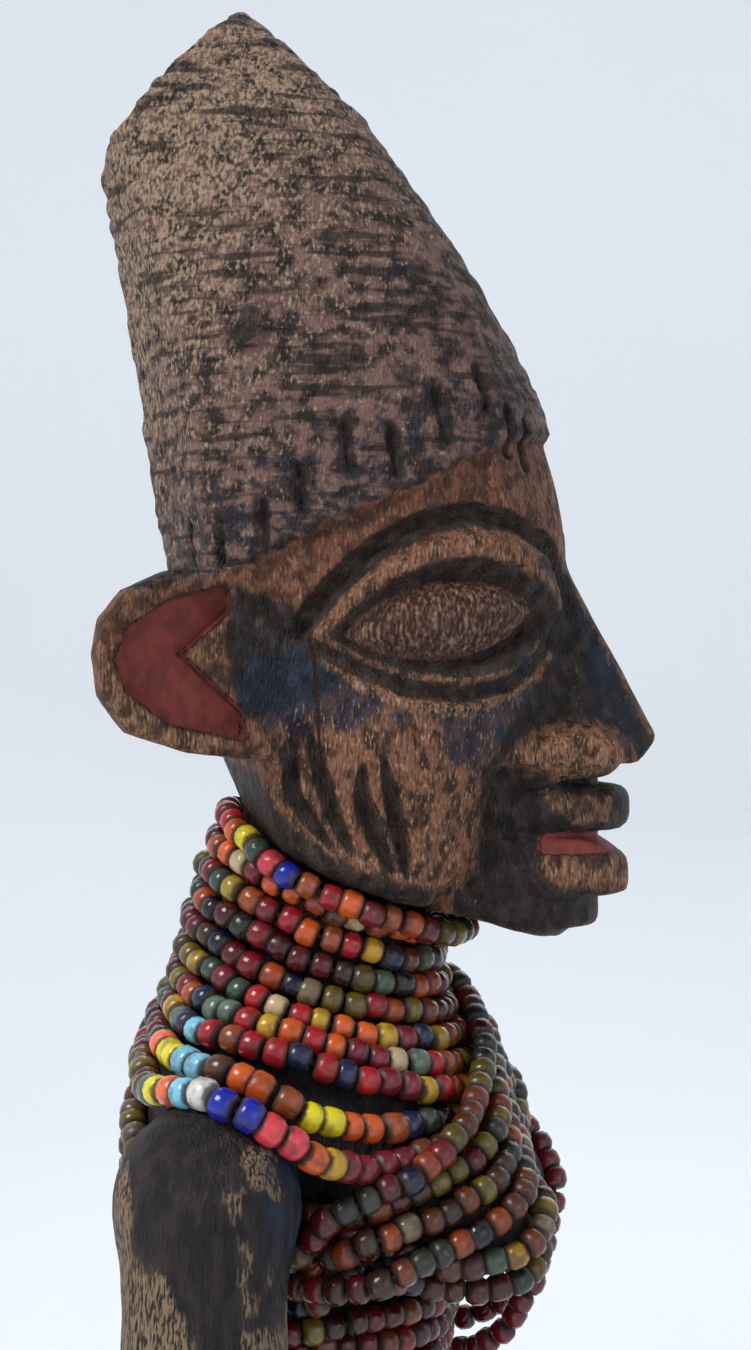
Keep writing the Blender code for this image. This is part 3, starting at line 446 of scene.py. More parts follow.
def outline_distance(across, level, corners):
    """Distance in a plane from a closed outline, less than 0 inside it."""
    closed = list(corners) + [corners[0]]
    inside = np.zeros(across.shape, dtype=bool)
    for (a0, l0), (a1, l1) in zip(closed[:-1], closed[1:]):
        if l0 != l1:
            crossing = a0 + (level - l0) * (a1 - a0) / (l1 - l0)
            inside ^= ((l0 > level) != (l1 > level)) & (across < crossing)
    nearest = stroke(across, level, closed)
    return np.where(inside, -nearest, nearest)


def nearest_outline(forward, level, outlines):
    """Distance from the nearest of several closed outlines, less than 0 inside one."""
    return np.minimum.reduce([outline_distance(forward, level, outline) for outline in outlines])


def ear_place(side, forward):
    """How far a point lies along the ear's leaf from its root, and out of its face."""
    out = side - EAR_ROOT[0]
    ahead = forward - EAR_ROOT[1]
    return (out * math.sin(EAR_FLARE) - ahead * math.cos(EAR_FLARE),
            out * math.cos(EAR_FLARE) + ahead * math.sin(EAR_FLARE))


def ear(side, forward, level):
    """The ear leaf with its hollow and the pointed lobe before it."""
    along, face = ear_place(side, forward)
    outline = outline_distance(along, level, ear_line(EAR_OUTLINE))
    leaf = smooth_max(outline, np.abs(face) - EAR_HALF_THICK, CARVED_EDGE)
    hollow = outline_distance(along, level, ear_line(EAR_HOLLOW))
    hollow = smooth_max(hollow, EAR_HALF_THICK - EAR_DEPTH - face, 0.4)
    return smooth_max(leaf, -hollow, 0.3)


# Lower edge of the jaw and nape, forward and level
JAW_LINE = ((-12.0, 220.0), (-9.0, 214.3), (-7.2, 211.0), (-4.9, 207.8), (-0.6, 204.6), (5.0, 201.6),
            (11.8, 199.2), (19.1, 198.0), (29.0, 194.9), (40.0, 191.5))

# Where the face is carved: its levels, how far back it goes, and how far from the plain surface
FACE_LEVELS = (196.0, 262.0)
FACE_BACK = -14.0
FACE_SHELL = 5.0


def head(side, forward, level):
    """Head, coiffure, face and ears."""
    form = stacked_sections(side, forward, level, HEAD_SECTIONS, HEAD_MIDDLE, HEAD_POWER)
    run = math.hypot(CROWN_TIP[0] - CROWN_CORNER[0], CROWN_TIP[1] - CROWN_CORNER[1])
    normal = ((CROWN_CORNER[1] - CROWN_TIP[1]) / run, (CROWN_TIP[0] - CROWN_CORNER[0]) / run)
    slope = normal[0] * (forward - CROWN_CORNER[0]) + normal[1] * (level - CROWN_CORNER[1])
    form = smooth_max(form, slope + side * side * CROWN_CURVE, 1.2)
    back, front, _ = section_at(HEAD_SECTIONS, level)
    share, aside, cut = FRONT_FACET
    facet = (forward - front) * share + side * aside - cut
    form = np.where(level > FACET_LEVEL, smooth_max(form, facet, CARVED_EDGE), form)
    share, aside, cut = BACK_FACET
    facet = (back - forward) * share + side * aside - cut
    form = smooth_max(form, facet, 1.5)
    form = form + HAIR_STEP * ramp(line_at(HAIRLINE, forward) - level + 0.5)
    jaw = (line_at(JAW_LINE, forward) - JAW_DROP + side * side * JAW_CURVE - level) * JAW_LEAN
    form = smooth_max(form, jaw, 2.0)
    low, high = FACE_LEVELS
    near = (np.abs(form) < FACE_SHELL) & (level > low) & (level < high) & (forward > FACE_BACK)
    place = (side[near], forward[near], level[near])
    form[near] = form[near] - face_relief(*place) - notch_relief(*place)
    form = smooth_min(form, nose(side, forward, level), CARVED_EDGE)
    lips = smooth_max(mouth(side, forward, level), jaw, 1.5)
    form = smooth_min(form, lips, CARVED_EDGE)
    return smooth_min(form, ear(side, forward, level), 0.9)


# Neck and trunk: level, back, front, half width
NECK_SECTIONS = smooth_table((
    (172, -17.4, 18.0, 20.0),
    (178, -17.2, 16.5, 17.0),
    (184, -15.6, 14.6, 13.2),
    (190, -13.0, 13.4, 11.8),
    (196, -11.6, 13.0, 11.2),
    (204, -9.0, 13.6, 10.8),
    (214, -5.0, 15.0, 10.8),
), 4)
TRUNK_SECTIONS = smooth_table((
    (84, -14.0, 10.0, 16.0),
    (96, -17.5, 12.0, 21.0),
    (108, -16.0, 12.6, 19.5),
    (124, -11.8, 11.6, 14.4),
    (138, -12.0, 12.4, 14.2),
    (148, -13.2, 13.6, 15.0),
    (160, -14.8, 15.5, 16.2),
    (170, -15.6, 16.6, 17.2),
    (176, -15.0, 16.0, 19.0),
    (180, -14.5, 15.2, 19.5),
    (186, -12.5, 13.5, 15.0),
), 4)

# Joints of the limbs: side, forward, level, radius
SHOULDER = ((14.0, -3.0, 180.5, 4.0), (29.0, -5.0, 172.5, 8.0))
ARM = ((31.0, -5.0, 169.5, 8.8), (32.6, -4.8, 156.0, 8.0), (32.8, -7.5, 138.0, 6.8),
       (29.0, -2.0, 120.0, 6.2), (23.0, 7.5, 103.0, 5.6))
HAND = ((22.6, 8.2, 103.0, 5.0), (20.0, 12.0, 92.0, 3.8))
LEG = ((10.5, -1.5, 98.0, 11.5), (12.0, 3.5, 78.0, 10.6), (12.0, 6.5, 60.0, 8.8),
       (12.0, 0.5, 42.0, 9.4), (12.0, -2.5, 20.0, 7.0))
FOOT = ((12.0, -4.5, 14.6, 5.8), (13.2, 10.0, 13.2, 6.0), (14.0, 19.0, 12.2, 4.8))
SEAT = ((9.5, -9.5, 96.0), (9.5, 10.0, 11.0))
BREAST = ((11.0, 13.0, 165.6), (8.6, 12.0, 8.0))
BREAST_TIP = ((12.0, 22.0, 163.8), (4.2, 4.6, 4.0))

# Ends of the trunk and of the neck inside the other forms, and the levels between which each form counts
TRUNK_ENDS = (88.0, 181.0)
NECK_ENDS = (168.0, 212.0)
TRUNK_LEVELS = (78.0, 222.0)
SHOULDER_LEVEL = 186.0


def trunk(side, forward, level):
    """Neck, chest, back, breasts and hips."""
    body = stacked_sections(side, forward, level, TRUNK_SECTIONS, 0.5, 2.5)
    body = smooth_max(body, outside(level, *TRUNK_ENDS), 6.0)
    neck = stacked_sections(side, forward, level, NECK_SECTIONS, 0.48, 2.1)
    neck = smooth_max(neck, outside(level, *NECK_ENDS), 2.0)
    form = smooth_min(body, neck, 5.0)
    breast = ellipsoid(side, forward, level, *BREAST)
    tip = ellipsoid(side, forward, level, *BREAST_TIP)
    return smooth_min(form, smooth_min(breast, tip, 3.0), 2.5)


def limbs(side, forward, level):
    """Arms with the hands on the thighs, short bent legs, and feet."""
    arm = limb(side, forward, level, ARM)
    arm = smooth_min(arm, limb(side, forward, level, SHOULDER), 5.0)
    hand = limb(side, forward, level, HAND)
    leg = limb(side, forward, level, LEG)
    seat = ellipsoid(side, forward, level, *SEAT)
    foot = limb(side, forward, level, FOOT)
    foot = smooth_max(foot, SOLE_LEVEL - SOLE_SINK - level, 0.4)
    leg = smooth_min(smooth_min(leg, seat, 4.0), foot, 3.0)
    return arm, hand, leg


def wood_distance(x, forward, level):
    """Distance to the whole carving, in steps, less than 0 inside the wood."""
    side = np.abs(x)
    upper = level > SHOULDER_LEVEL
    middle = (level > TRUNK_LEVELS[0]) & (level < TRUNK_LEVELS[1])
    lower = level < SHOULDER_LEVEL
    form = np.full(side.shape, FAR)
    form[middle] = trunk(side[middle], forward[middle], level[middle])
    arm, hand, leg = limbs(side[lower], forward[lower], level[lower])
    lower_form = smooth_min(form[lower], arm, 1.5)
    lower_form = smooth_min(lower_form, leg, 3.0)
    form[lower] = smooth_min(lower_form, hand, 1.0)
    form[upper] = smooth_min(form[upper], head(side[upper], forward[upper], level[upper]), 1.5)
    return form


def surface_points(distance, low, high, spacing):
    """Points and faces of the zero surface of a distance function, in steps."""
    block_size = 4
    shape = [int(math.ceil((high[k] - low[k]) / spacing / block_size)) * block_size for k in range(3)]
    axes = [low[k] + spacing * np.arange(shape[k]) for k in range(3)]
    middles = [axis.reshape(-1, block_size).mean(axis=1) for axis in axes]
    grid = np.meshgrid(*middles, indexing="ij")
    coarse = distance(*(part.ravel() for part in grid)).reshape(grid[0].shape)
    near = np.abs(coarse) < spacing * block_size * 1.6
    field = coarse.astype(np.float32)
    for axis in range(3):
        near = np.repeat(near, block_size, axis=axis)
        field = np.repeat(field, block_size, axis=axis)
    i, j, k = np.nonzero(near)
    field[i, j, k] = distance(axes[0][i], axes[1][j], axes[2][k])
    volume = openvdb.FloatGrid()
    volume.copyFromArray(field)
    points, quads = volume.convertToQuads(isovalue=0.0)
    return points * spacing + np.array(low), quads


# The finished carving: its sampling in steps, its faces, how far each span of levels is thinned to them,
# the base's edge, and the level where the head's finish meets the body's
FINE_SPACING = 0.5
FIGURE_LOW = (-46.0, -36.0, -2.0)
FIGURE_HIGH = (46.0, 46.0, 304.0)
FIGURE_FACES = 190000
THINNING = ((-5.0, 130.0, 0.4), (130.0, 196.0, 0.2), (196.0, 320.0, 0.05))
BASE_TOP = BASE_HEIGHT / STEP
BASE_ROUNDING = 1.2
NECK_BREAK = 196.0

# Weathering, in steps: the arcs of tool marks and pits on the coiffure, a broken out hollow on its right
# side, the eroded wings of the nose and the fine crack
TOOL_CENTRE = (-5.0, 262.0)
TOOL_SPACING = 2.1
TOOL_DEPTH = 0.42
CHIP_CENTRE = (-3.3, 261.8)
CHIP_HALF = (1.6, 2.5)
CHIP_DEPTH = 1.2
WING_CENTRE = (6.6, 31.0, 215.5)
WING_REACH = 5.5
TOOL_WANDER = 1.6
PIT_DEPTH = 0.22
EROSION_DEPTH = 0.45
CRACK_DEPTH = 0.5
CRACK_REACH = 0.6

# Noise of the relief: its cells in steps along each axis, and its seed
ROW_CELLS = ((7.0, 7.0, 7.0), 1)
BITE_CELLS = ((3.2, 3.2, 3.2), 2)
PIT_CELLS = ((1.1, 1.1, 2.4), 3)
FACET_CELLS = ((2.4, 2.4, 8.0), 4)
FIBRE_CELLS = ((1.0, 1.0, 3.4), 5)
EROSION_CELLS = ((0.9, 0.9, 0.9), 6)
CHIP_CELLS = ((1.3, 1.3, 1.3), 7)

# Places on the arm, in forward and level, where the dark skin is worn down to fibres
ARM_WORN = (
    ((-14.0, 176.0), (-11.0, 174.0), (-10.5, 168.0), (-7.0, 164.0), (-4.5, 163.0), (-5.0, 156.0), (-2.0, 152.0),
     (-4.0, 146.0), (-9.0, 139.0), (-11.0, 133.0), (-14.0, 128.0)),
    ((-0.8, 176.5), (2.2, 175.8), (2.6, 174.2), (0.6, 172.8), (0.2, 170.6), (-1.2, 171.4), (-0.2, 173.8)),
    ((-0.2, 169.8), (1.0, 168.6), (1.8, 164.6), (1.2, 162.4), (-0.2, 165.6)),
    ((0.5, 159.0), (5.0, 160.0), (6.0, 154.0), (4.5, 146.0), (1.5, 150.0)),
)
ARM_BLUE = ((2.5, 177.5), (6.5, 175.5), (6.8, 170.0), (4.0, 166.0), (1.8, 168.0), (2.0, 172.0))

# Paint, soot and wear on each side of the face, as outlines in forward and level
BLUE_PATCHES = (
    ((16.1, 219.8), (20.5, 221.6), (25.0, 224.5), (27.3, 226.5), (27.8, 222.6), (24.1, 217.2),
     (20.4, 213.8), (19.0, 214.8), (18.6, 217.3)),
    ((30.7, 231.7), (32.7, 230.8), (35.5, 225.6), (37.6, 220.5), (37.7, 215.0), (35.6, 218.5), (32.6, 224.5)),
    ((-2.7, 227.4), (3.3, 226.4), (10.2, 221.7), (16.8, 219.2), (9.2, 218.6), (2.1, 218.2), (-3.6, 219.7)),
)
SOOT_PATCHES = (
    ((-4.0, 233.7), (5.0, 229.9), (3.3, 227.8), (6.2, 226.5), (8.8, 223.6), (2.8, 220.6), (-3.5, 219.4),
     (-4.4, 223.6), (-5.7, 227.8)),
    ((26.0, 233.0), (28.5, 238.5), (32.0, 234.0), (39.0, 222.0), (40.5, 213.0), (34.0, 219.0), (28.4, 218.9),
     (25.0, 217.0), (22.9, 211.6), (21.4, 206.5), (20.0, 202.4), (21.6, 209.1), (22.0, 214.3), (25.0, 219.7),
     (27.9, 224.5)),
    ((-9.0, 215.0), (-3.0, 213.5), (1.5, 207.5), (9.0, 202.8), (17.0, 200.6), (14.0, 197.0), (-4.0, 200.0)),
    ((18.0, 201.0), (21.4, 202.8), (29.6, 201.4), (34.0, 200.0), (34.0, 190.0), (18.0, 190.0)),
    ((21.4, 214.0), (38.5, 213.8), (38.5, 205.9), (27.4, 205.9), (27.0, 199.0), (20.0, 200.0)),
)
WORN_PATCHES = (
    ((27.4, 211.6), (35.2, 210.6), (35.6, 207.8), (31.7, 207.8), (28.9, 208.9)),
    ((26.4, 203.4), (30.8, 203.8), (38.0, 203.0), (37.5, 200.6), (29.0, 200.9)),
    ((25.5, 216.6), (30.3, 217.4), (34.6, 217.4), (36.8, 214.6), (31.1, 212.5), (26.0, 213.0)),
)

# Bounds of paint and wear, in steps: the face's lowest level and how far back it goes; the arm's inner side
# and top level; half tops of the upper lid, crescent and lower lid; the nose ridge's half width, back and
# lowest level; the red lip's back, lower and upper level; and the ear's levels, red and bare rim
FACE_PAINT = (190.0, -13.0)
ARM_PAINT = (22.0, 184.0)
LID_TOPS = (1.1, 0.8, 0.3)
NOSE_WEAR = (1.5, 31.0, 214.0)
LIP_RED = (27.5, 204.4, 206.8)
EAR_LEVELS = (212.0, 238.0)
EAR_RED_BACK = -0.9
EAR_RED_SIDE = 14.0
EAR_RIM_START = 3.0
# Level about which the coiffure's painted light grows: more khaki toward the top and the back, where the key
# light falls
HAIR_LIGHT_LEVEL = 262.0

# The fine crack below the eye, as level and forward, and how wide it, the painted shade and dirt in the cuts
# and the painted shadow line round the ear's hollow are
CRACK = ((213.6, 4.8), (217.2, 4.6), (221.4, 4.5), (225.7, 4.1), (228.4, 3.3))
CRACK_HALF = 0.16
CUT_SHADE_AND_DIRT = 0.9
EAR_LINE_HALF = 0.35


def put_in(name, data):
    """A new object of a mesh, lamp or camera in the scene."""
    item = bpy.data.objects.new(name, data)
    bpy.context.scene.collection.objects.link(item)
    return item


def made_plain(item):
    """The plain mesh that an object's modifiers make, in place of the object."""
    evaluated = item.evaluated_get(bpy.context.evaluated_depsgraph_get())
    mesh = bpy.data.meshes.new_from_object(evaluated)
    bpy.data.objects.remove(item, do_unlink=True)
    return mesh


def read_points(items, name):
    """A vector of each vertex, vertex normal or face of a mesh."""
    values = np.empty(3 * len(items))
    items.foreach_get(name, values)
    return values.reshape(-1, 3)


def soft_noise(place, size, seed):
    """Smooth noise from 0 to 1, with cells of a size along each axis."""
    count = 32
    table = np.random.default_rng(seed).random((count, count, count))
    scaled = place / np.array(size) + 64.0
    cell = np.floor(scaled).astype(int)
    t = ramp(scaled - cell)
    total = np.zeros(len(place))
    for corner in range(8):
        offset = np.array(((corner >> 2) & 1, (corner >> 1) & 1, corner & 1))
        weight = np.prod(np.where(offset == 1, t, 1.0 - t), axis=1)
        i, j, k = ((cell + offset) % count).T
        total += weight * table[i, j, k]
    return total


def hairline_rise(forward, level):
    """How far a point lies above the hairline."""
    return level - line_at(HAIRLINE, forward)


def whole_distance(x, forward, level):
    """The carving with the round base it stands on."""
    rim = np.hypot(x, forward) - BASE_RADIUS / STEP
    base = smooth_max(rim, np.abs(level - BASE_TOP / 2.0) - BASE_TOP / 2.0, BASE_ROUNDING)
    return smooth_min(wood_distance(x, forward, level), base, 0.6)


def weathering(x, forward, level):
    """How far the worn surface stands out from the plain carving, in steps."""
    place = np.stack((x, forward, level), axis=1)
    side = np.abs(x)
    hair = ramp((hairline_rise(forward, level) - 1.0) / 3.0)
    away = np.hypot(forward - TOOL_CENTRE[0], level - TOOL_CENTRE[1])
    rows = away / TOOL_SPACING + TOOL_WANDER * soft_noise(place, *ROW_CELLS)
    scallop = (2.0 * (rows - np.floor(rows)) - 1.0) ** 2 - 1.0
    far = ramp((away - 7.0) / 12.0)
    height = TOOL_DEPTH * hair * far * scallop * soft_noise(place, *BITE_CELLS)
    height -= PIT_DEPTH * hair * ramp((soft_noise(place, *PIT_CELLS) - 0.5) / 0.3)
    body = 1.0 - ramp((level - 190.0) / 10.0)
    height += (0.10 + 0.30 * body) * (soft_noise(place, *FACET_CELLS) - 0.5)
    height += (0.14 * (1.0 - hair) + 0.12 * body) * (soft_noise(place, *FIBRE_CELLS) - 0.5)
    wing = np.linalg.norm(np.stack((side, forward, level), axis=1) - WING_CENTRE, axis=1)
    eroded = ramp((WING_REACH - wing) / 2.0) * ramp((soft_noise(place, *EROSION_CELLS) - 0.35) / 0.3)
    height -= EROSION_DEPTH * eroded
    height -= CHIP_DEPTH * ramp(0.5 - chip_edge(x, forward, level) / 0.9)
    aside, past = crack_offset(forward, level)
    crack = ramp(1.0 - np.abs(aside) / CRACK_REACH) * ramp(-past / CRACK_REACH)
    return height - np.where(x < 0.0, CRACK_DEPTH * crack, 0.0)


def chip_edge(x, forward, level):
    """Distance from the ragged edge of the hollow broken out of the coiffure, less than 0 inside it."""
    ragged = 1.6 * (soft_noise(np.stack((x, forward, level), axis=1), *CHIP_CELLS) - 0.5)
    across = np.abs(forward - CHIP_CENTRE[0]) - CHIP_HALF[0]
    chip = np.maximum(across, np.abs(level - CHIP_CENTRE[1]) - CHIP_HALF[1]) + ragged
    return np.where(x < 0.0, chip, FAR)


def crack_offset(forward, level):
    """How far forward of the fine crack below the eye a point lies, and how far past its ends."""
    return forward - line_at(CRACK, level), outside(level, CRACK[0][0], CRACK[-1][0])


def paint_edges(x, forward, level):
    """Distances in steps from the edge of each carved line's painted shade and dirt and of each paint and
    stain, less than 0 inside it, with the coiffure's share of painted light.
    """
    side = np.abs(x)
    across = chart_across(side, forward, level)
    on_face = (level > FACE_PAINT[0]) & (forward > FACE_PAINT[1])
    # Painted shade and dirt: the carved cuts, the socket round the eyeball and the broken out hollow are marked
    # to be darkened.
    cuts = [drawn(across, level, BROW_GROOVE) - BROW_CUT[1], drawn(across, level, LOWER_GROOVE) - LOWER_CUT[1]]
    cuts += [scar_distance(across, level, scar) - SCAR_CUT[1] * CUT_SHADE_AND_DIRT for scar in SCARS]
    cuts += [notch - NOTCH_CUT[1] for notch in notches(across, level)]
    lens = eye_lens(across, level)
    lid = drawn(across, level, UPPER_LID) - LID_TOPS[0]
    crescent = drawn(across, level, CRESCENT) - LID_TOPS[1]
    lower_lid = drawn(across, level, LOWER_LID) - LID_TOPS[2]
    socket = np.maximum(lens - SOCKET_MARGIN[1], -0.5 - lens)
    cuts.append(np.maximum(socket, -np.minimum(lid, lower_lid)))
    cut = np.where(on_face, np.minimum.reduce(cuts), FAR)
    cut = np.minimum(cut, chip_edge(x, forward, level) + 0.2)
    blue = nearest_outline(forward, level, BLUE_PATCHES)
    soot = nearest_outline(forward, level, SOOT_PATCHES)
    worn = np.minimum(np.minimum(lid + 0.5, crescent), nearest_outline(forward, level, WORN_PATCHES))
    half, back, low = NOSE_WEAR
    ridge_wear = np.maximum(np.maximum(side - half, back - forward), low - level)
    worn = np.where(on_face, np.minimum(worn, ridge_wear), FAR)
    along, face = ear_place(side, forward)
    hollow = outline_distance(along, level, ear_line(EAR_HOLLOW))
    red = np.maximum(np.maximum(hollow - 0.1, EAR_RED_BACK - face), EAR_RED_SIDE - side)
    lip = np.maximum(LIP_RED[0] - forward, outside(level, *LIP_RED[1:]))
    on_ear = (along > 0.5) & (np.abs(face) < EAR_HALF_THICK + 0.6)
    on_ear = on_ear & (level > EAR_LEVELS[0]) & (level < EAR_LEVELS[1])
    rim = np.maximum(0.6 - hollow, EAR_RIM_START - along)
    worn = np.where(on_ear, np.minimum(worn, rim), worn)
    # Painted shadow: a thin dark line round the ear's hollow, laid in with the cuts' painted shade.
    ear_line_shade = np.minimum(cut, np.abs(hollow) - EAR_LINE_HALF)
    cut = np.where(on_ear & (face > EAR_RED_BACK), ear_line_shade, cut)
    on_arm = (side > ARM_PAINT[0]) & (level < ARM_PAINT[1])
    worn = np.minimum(worn, np.where(on_arm, nearest_outline(forward, level, ARM_WORN), FAR))
    arm_blue = np.where(on_arm, outline_distance(forward, level, ARM_BLUE), FAR)
    aside, past = crack_offset(forward, level)
    # Painted light: the coiffure's khaki flecks grow toward the top and the back, the side the key light falls
    # on.
    hair_khaki_and_painted_light = 0.5 + (level - HAIR_LIGHT_LEVEL) / 60.0 - forward / 40.0
    return {"crack_past": np.where((x < 0.0) & on_face, past, FAR), "hair_khaki_and_painted_light": np.clip(hair_khaki_and_painted_light, 0.0, 1.0),
            "eye_edge": np.where(on_face, lens, FAR), "cut_edge": cut, "worn_edge": worn,
            "blue_edge": np.where(on_face, blue, arm_blue), "soot_edge": np.where(on_face, soot, FAR),
            "red_edge": np.minimum(red, lip), "crack_edge": aside,
            "hair_rise": np.clip(hairline_rise(forward, level), -FAR, 60.0)}


def carved_piece():
    """The whole carving, weathered, with the edges of its paint kept as attributes."""
    points, quads = surface_points(whole_distance, FIGURE_LOW, FIGURE_HIGH, FINE_SPACING)
    mesh = bpy.data.meshes.new("carved_wood")
    mesh.from_pydata(in_metres(points).tolist(), [], quads.tolist())
    level = points[:, 2]
    height = weathering(*points.T) * ramp((level - 0.6) / 2.0)
    places = in_metres(points) + read_points(mesh.vertex_normals, "vector") * (height * STEP)[:, None]
    mesh.vertices.foreach_set("co", places.ravel())
    mesh.update()
    draft = put_in("carving_draft", mesh)
    plain = draft.vertex_groups.new(name="plain")
    for low, high, weight in THINNING:
        inside = np.nonzero((level >= low) & (level < high))[0]
        plain.add(inside.tolist(), weight, "REPLACE")
    thin = draft.modifiers.new("thin", "DECIMATE")
    thin.ratio = FIGURE_FACES / (2.0 * len(quads))
    thin.vertex_group = "plain"
    thin.vertex_group_factor = 1.0
    finished = made_plain(draft)
    finished.name = "carved_wood"
    x, y, z = read_points(finished.vertices, "co").T / STEP
    for name, values in paint_edges(x, -y, z - BASE_TOP + SOLE_LEVEL).items():
        layer = finished.attributes.new(name, "FLOAT", "POINT")
        layer.data.foreach_set("value", values.astype(np.float32))
    return put_in("carved_wood", finished)


def in_metres(points):
    """Carving places (x, forward, level) as world places."""
    world = points * np.array((STEP, -STEP, STEP))
    world[:, 2] = BASE_HEIGHT + (points[:, 2] - SOLE_LEVEL) * STEP
    return world


def paint(red, green, blue):
    """A colour as the eye sees it, each part from 0 to 255, turned into linear light."""
    return tuple(((part / 255.0 + 0.055) / 1.055) ** 2.4 for part in (red, green, blue)) + (1.0,)


# Colours of the wood
WOOD_DARK = paint(60, 44, 37)
WOOD_BROWN = paint(130, 90, 70)
WOOD_TAN = paint(174, 141, 108)
WOOD_RED = paint(62, 35, 30)
EYE_BROWN = paint(98, 74, 64)
HAIR_DARK = paint(48, 38, 36)
SMOKED_BROWN = paint(58, 40, 36)
FOREHEAD_RED = paint(104, 60, 45)
HAIR_BROWN = paint(118, 91, 83)
HAIR_KHAKI = paint(172, 149, 124)
# Soot colours, which also paint shade and dirt into the carved cuts, the eye socket and the broken hollow
SOOT_AND_SHADE_DARK = paint(26, 24, 24)
SOOT_AND_SHADE_GREY = paint(60, 56, 54)
BLUE_DARK = paint(30, 37, 52)
BLUE_BRIGHT = paint(34, 54, 76)
PURPLE_DARK = paint(38, 33, 44)
RED_DARK = paint(104, 50, 46)
RED_BRIGHT = paint(130, 63, 57)
BODY_DARK = paint(34, 31, 32)
BODY_GREY = paint(51, 44, 43)
BODY_TAN = paint(150, 126, 100)
CRACK_DARK = paint(50, 22, 16)
WOOD_SHINE = 0.16

# How ragged each patch's edge is in steps, the width of its grain in metres and the softness of its edge
HEAD_PATCHES = {"worn_edge": (2.2, 0.0009, 0.35), "blue_edge": (6.0, 0.0018, 0.9),
                "soot_edge": (2.6, 0.0014, 0.6), "cut_edge": (0.7, 0.0005, 0.2),
                "red_edge": (0.8, 0.0006, 0.15), "hairline": (3.0, 0.0015, 0.25)}
BODY_PATCHES = {"worn_edge": (9.0, 0.0026, 0.6), "blue_edge": (6.0, 0.002, 0.9)}


def feed(tree, source, socket):
    """Feed a socket from another socket, or set it to a plain value."""
    if isinstance(source, bpy.types.NodeSocket):
        tree.links.new(source, socket)
    else:
        socket.default_value = source


def calculate(tree, operation, *values):
    """One step of arithmetic."""
    node = tree.nodes.new("ShaderNodeMath")
    node.operation = operation
    for value, socket in zip(values, node.inputs):
        feed(tree, value, socket)
    return node.outputs[0]


def product(tree, *values):
    """Several shares multiplied together."""
    total = values[0]
    for value in values[1:]:
        total = calculate(tree, "MULTIPLY", total, value)
    return total


def mixed(tree, data_type, places, values):
    """A mix node of one type, with the places of its inputs and output and its values."""
    node = tree.nodes.new("ShaderNodeMix")
    node.data_type = data_type
    for place, value in zip(places, values):
        feed(tree, value, node.inputs[place])
    return node.outputs[places[-1]]


def layered(tree, share, under, over):
    """One colour laid over another by a share."""
    return mixed(tree, "RGBA", (0, 6, 7, 2), (share, under, over))


def between(tree, share, low, high):
    """A value between two others by a share."""
    return mixed(tree, "FLOAT", (0, 2, 3, 0), (share, low, high))


def soft_step(tree, value, low, high):
    """A soft step from 0 to 1 as a value passes from low to high."""
    node = tree.nodes.new("ShaderNodeMapRange")
    node.interpolation_type = "SMOOTHSTEP"
    feed(tree, value, node.inputs["Value"])
    feed(tree, low, node.inputs["From Min"])
    feed(tree, high, node.inputs["From Max"])
    return node.outputs["Result"]


def kept(tree, name):
    """A value kept on the piece's own points."""
    node = tree.nodes.new("ShaderNodeAttribute")
    node.attribute_name = name
    return node.outputs["Fac"]


def cloud(tree, width, length, detail):
    """Noise from 0 to 1 in the piece's own space, with a width across the grain and a length up it."""
    place = tree.nodes.new("ShaderNodeTexCoord")
    cells = tree.nodes.new("ShaderNodeCombineXYZ")
    across = calculate(tree, "DIVIDE", 1.0, width)
    along = calculate(tree, "DIVIDE", 1.0, length)
    for value, socket in zip((across, across, along), cells.inputs):
        feed(tree, value, socket)
    scaled = tree.nodes.new("ShaderNodeVectorMath")
    scaled.operation = "MULTIPLY"
    tree.links.new(place.outputs["Object"], scaled.inputs[0])
    tree.links.new(cells.outputs[0], scaled.inputs[1])
    noise = tree.nodes.new("ShaderNodeTexNoise")
    noise.inputs["Scale"].default_value = 1.0
    noise.inputs["Detail"].default_value = detail
    tree.links.new(scaled.outputs[0], noise.inputs["Vector"])
    return noise.outputs[0]


def effect_group(name, inputs, outputs):
    """An empty shader group with named number inputs and outputs."""
    tree = bpy.data.node_groups.new(name, "ShaderNodeTree")
    for label, value in inputs.items():
        socket = tree.interface.new_socket(label, in_out="INPUT", socket_type="NodeSocketFloat")
        socket.default_value = value
    for label in outputs:
        tree.interface.new_socket(label, in_out="OUTPUT", socket_type="NodeSocketFloat")
    return tree, tree.nodes.new("NodeGroupInput").outputs, tree.nodes.new("NodeGroupOutput").inputs


def placed(tree, group, **values):
    """A group placed in a material with its own values. Returns its outputs."""
    node = tree.nodes.new("ShaderNodeGroup")
    node.node_tree = group
    for label, value in values.items():
        feed(tree, value, node.inputs[label.replace("_", " ")])
    return node.outputs


def ragged_patch_group():
    """Coverage of a paint or stain whose edge breaks up along the grain."""
    tree, given, result = effect_group(
        "ragged patch", {"Edge": 1.0, "Raggedness": 1.0, "Grain width": 0.001, "Softness": 0.2}, ["Coverage"])
    grain = cloud(tree, given["Grain width"], product(tree, given["Grain width"], 2.2), 4.0)
    wander = product(tree, calculate(tree, "SUBTRACT", grain, 0.5), given["Raggedness"])
    edge = calculate(tree, "ADD", given["Edge"], wander)
    outside = soft_step(tree, edge, product(tree, given["Softness"], -1.0), given["Softness"])
    feed(tree, calculate(tree, "SUBTRACT", 1.0, outside), result["Coverage"])
    return tree


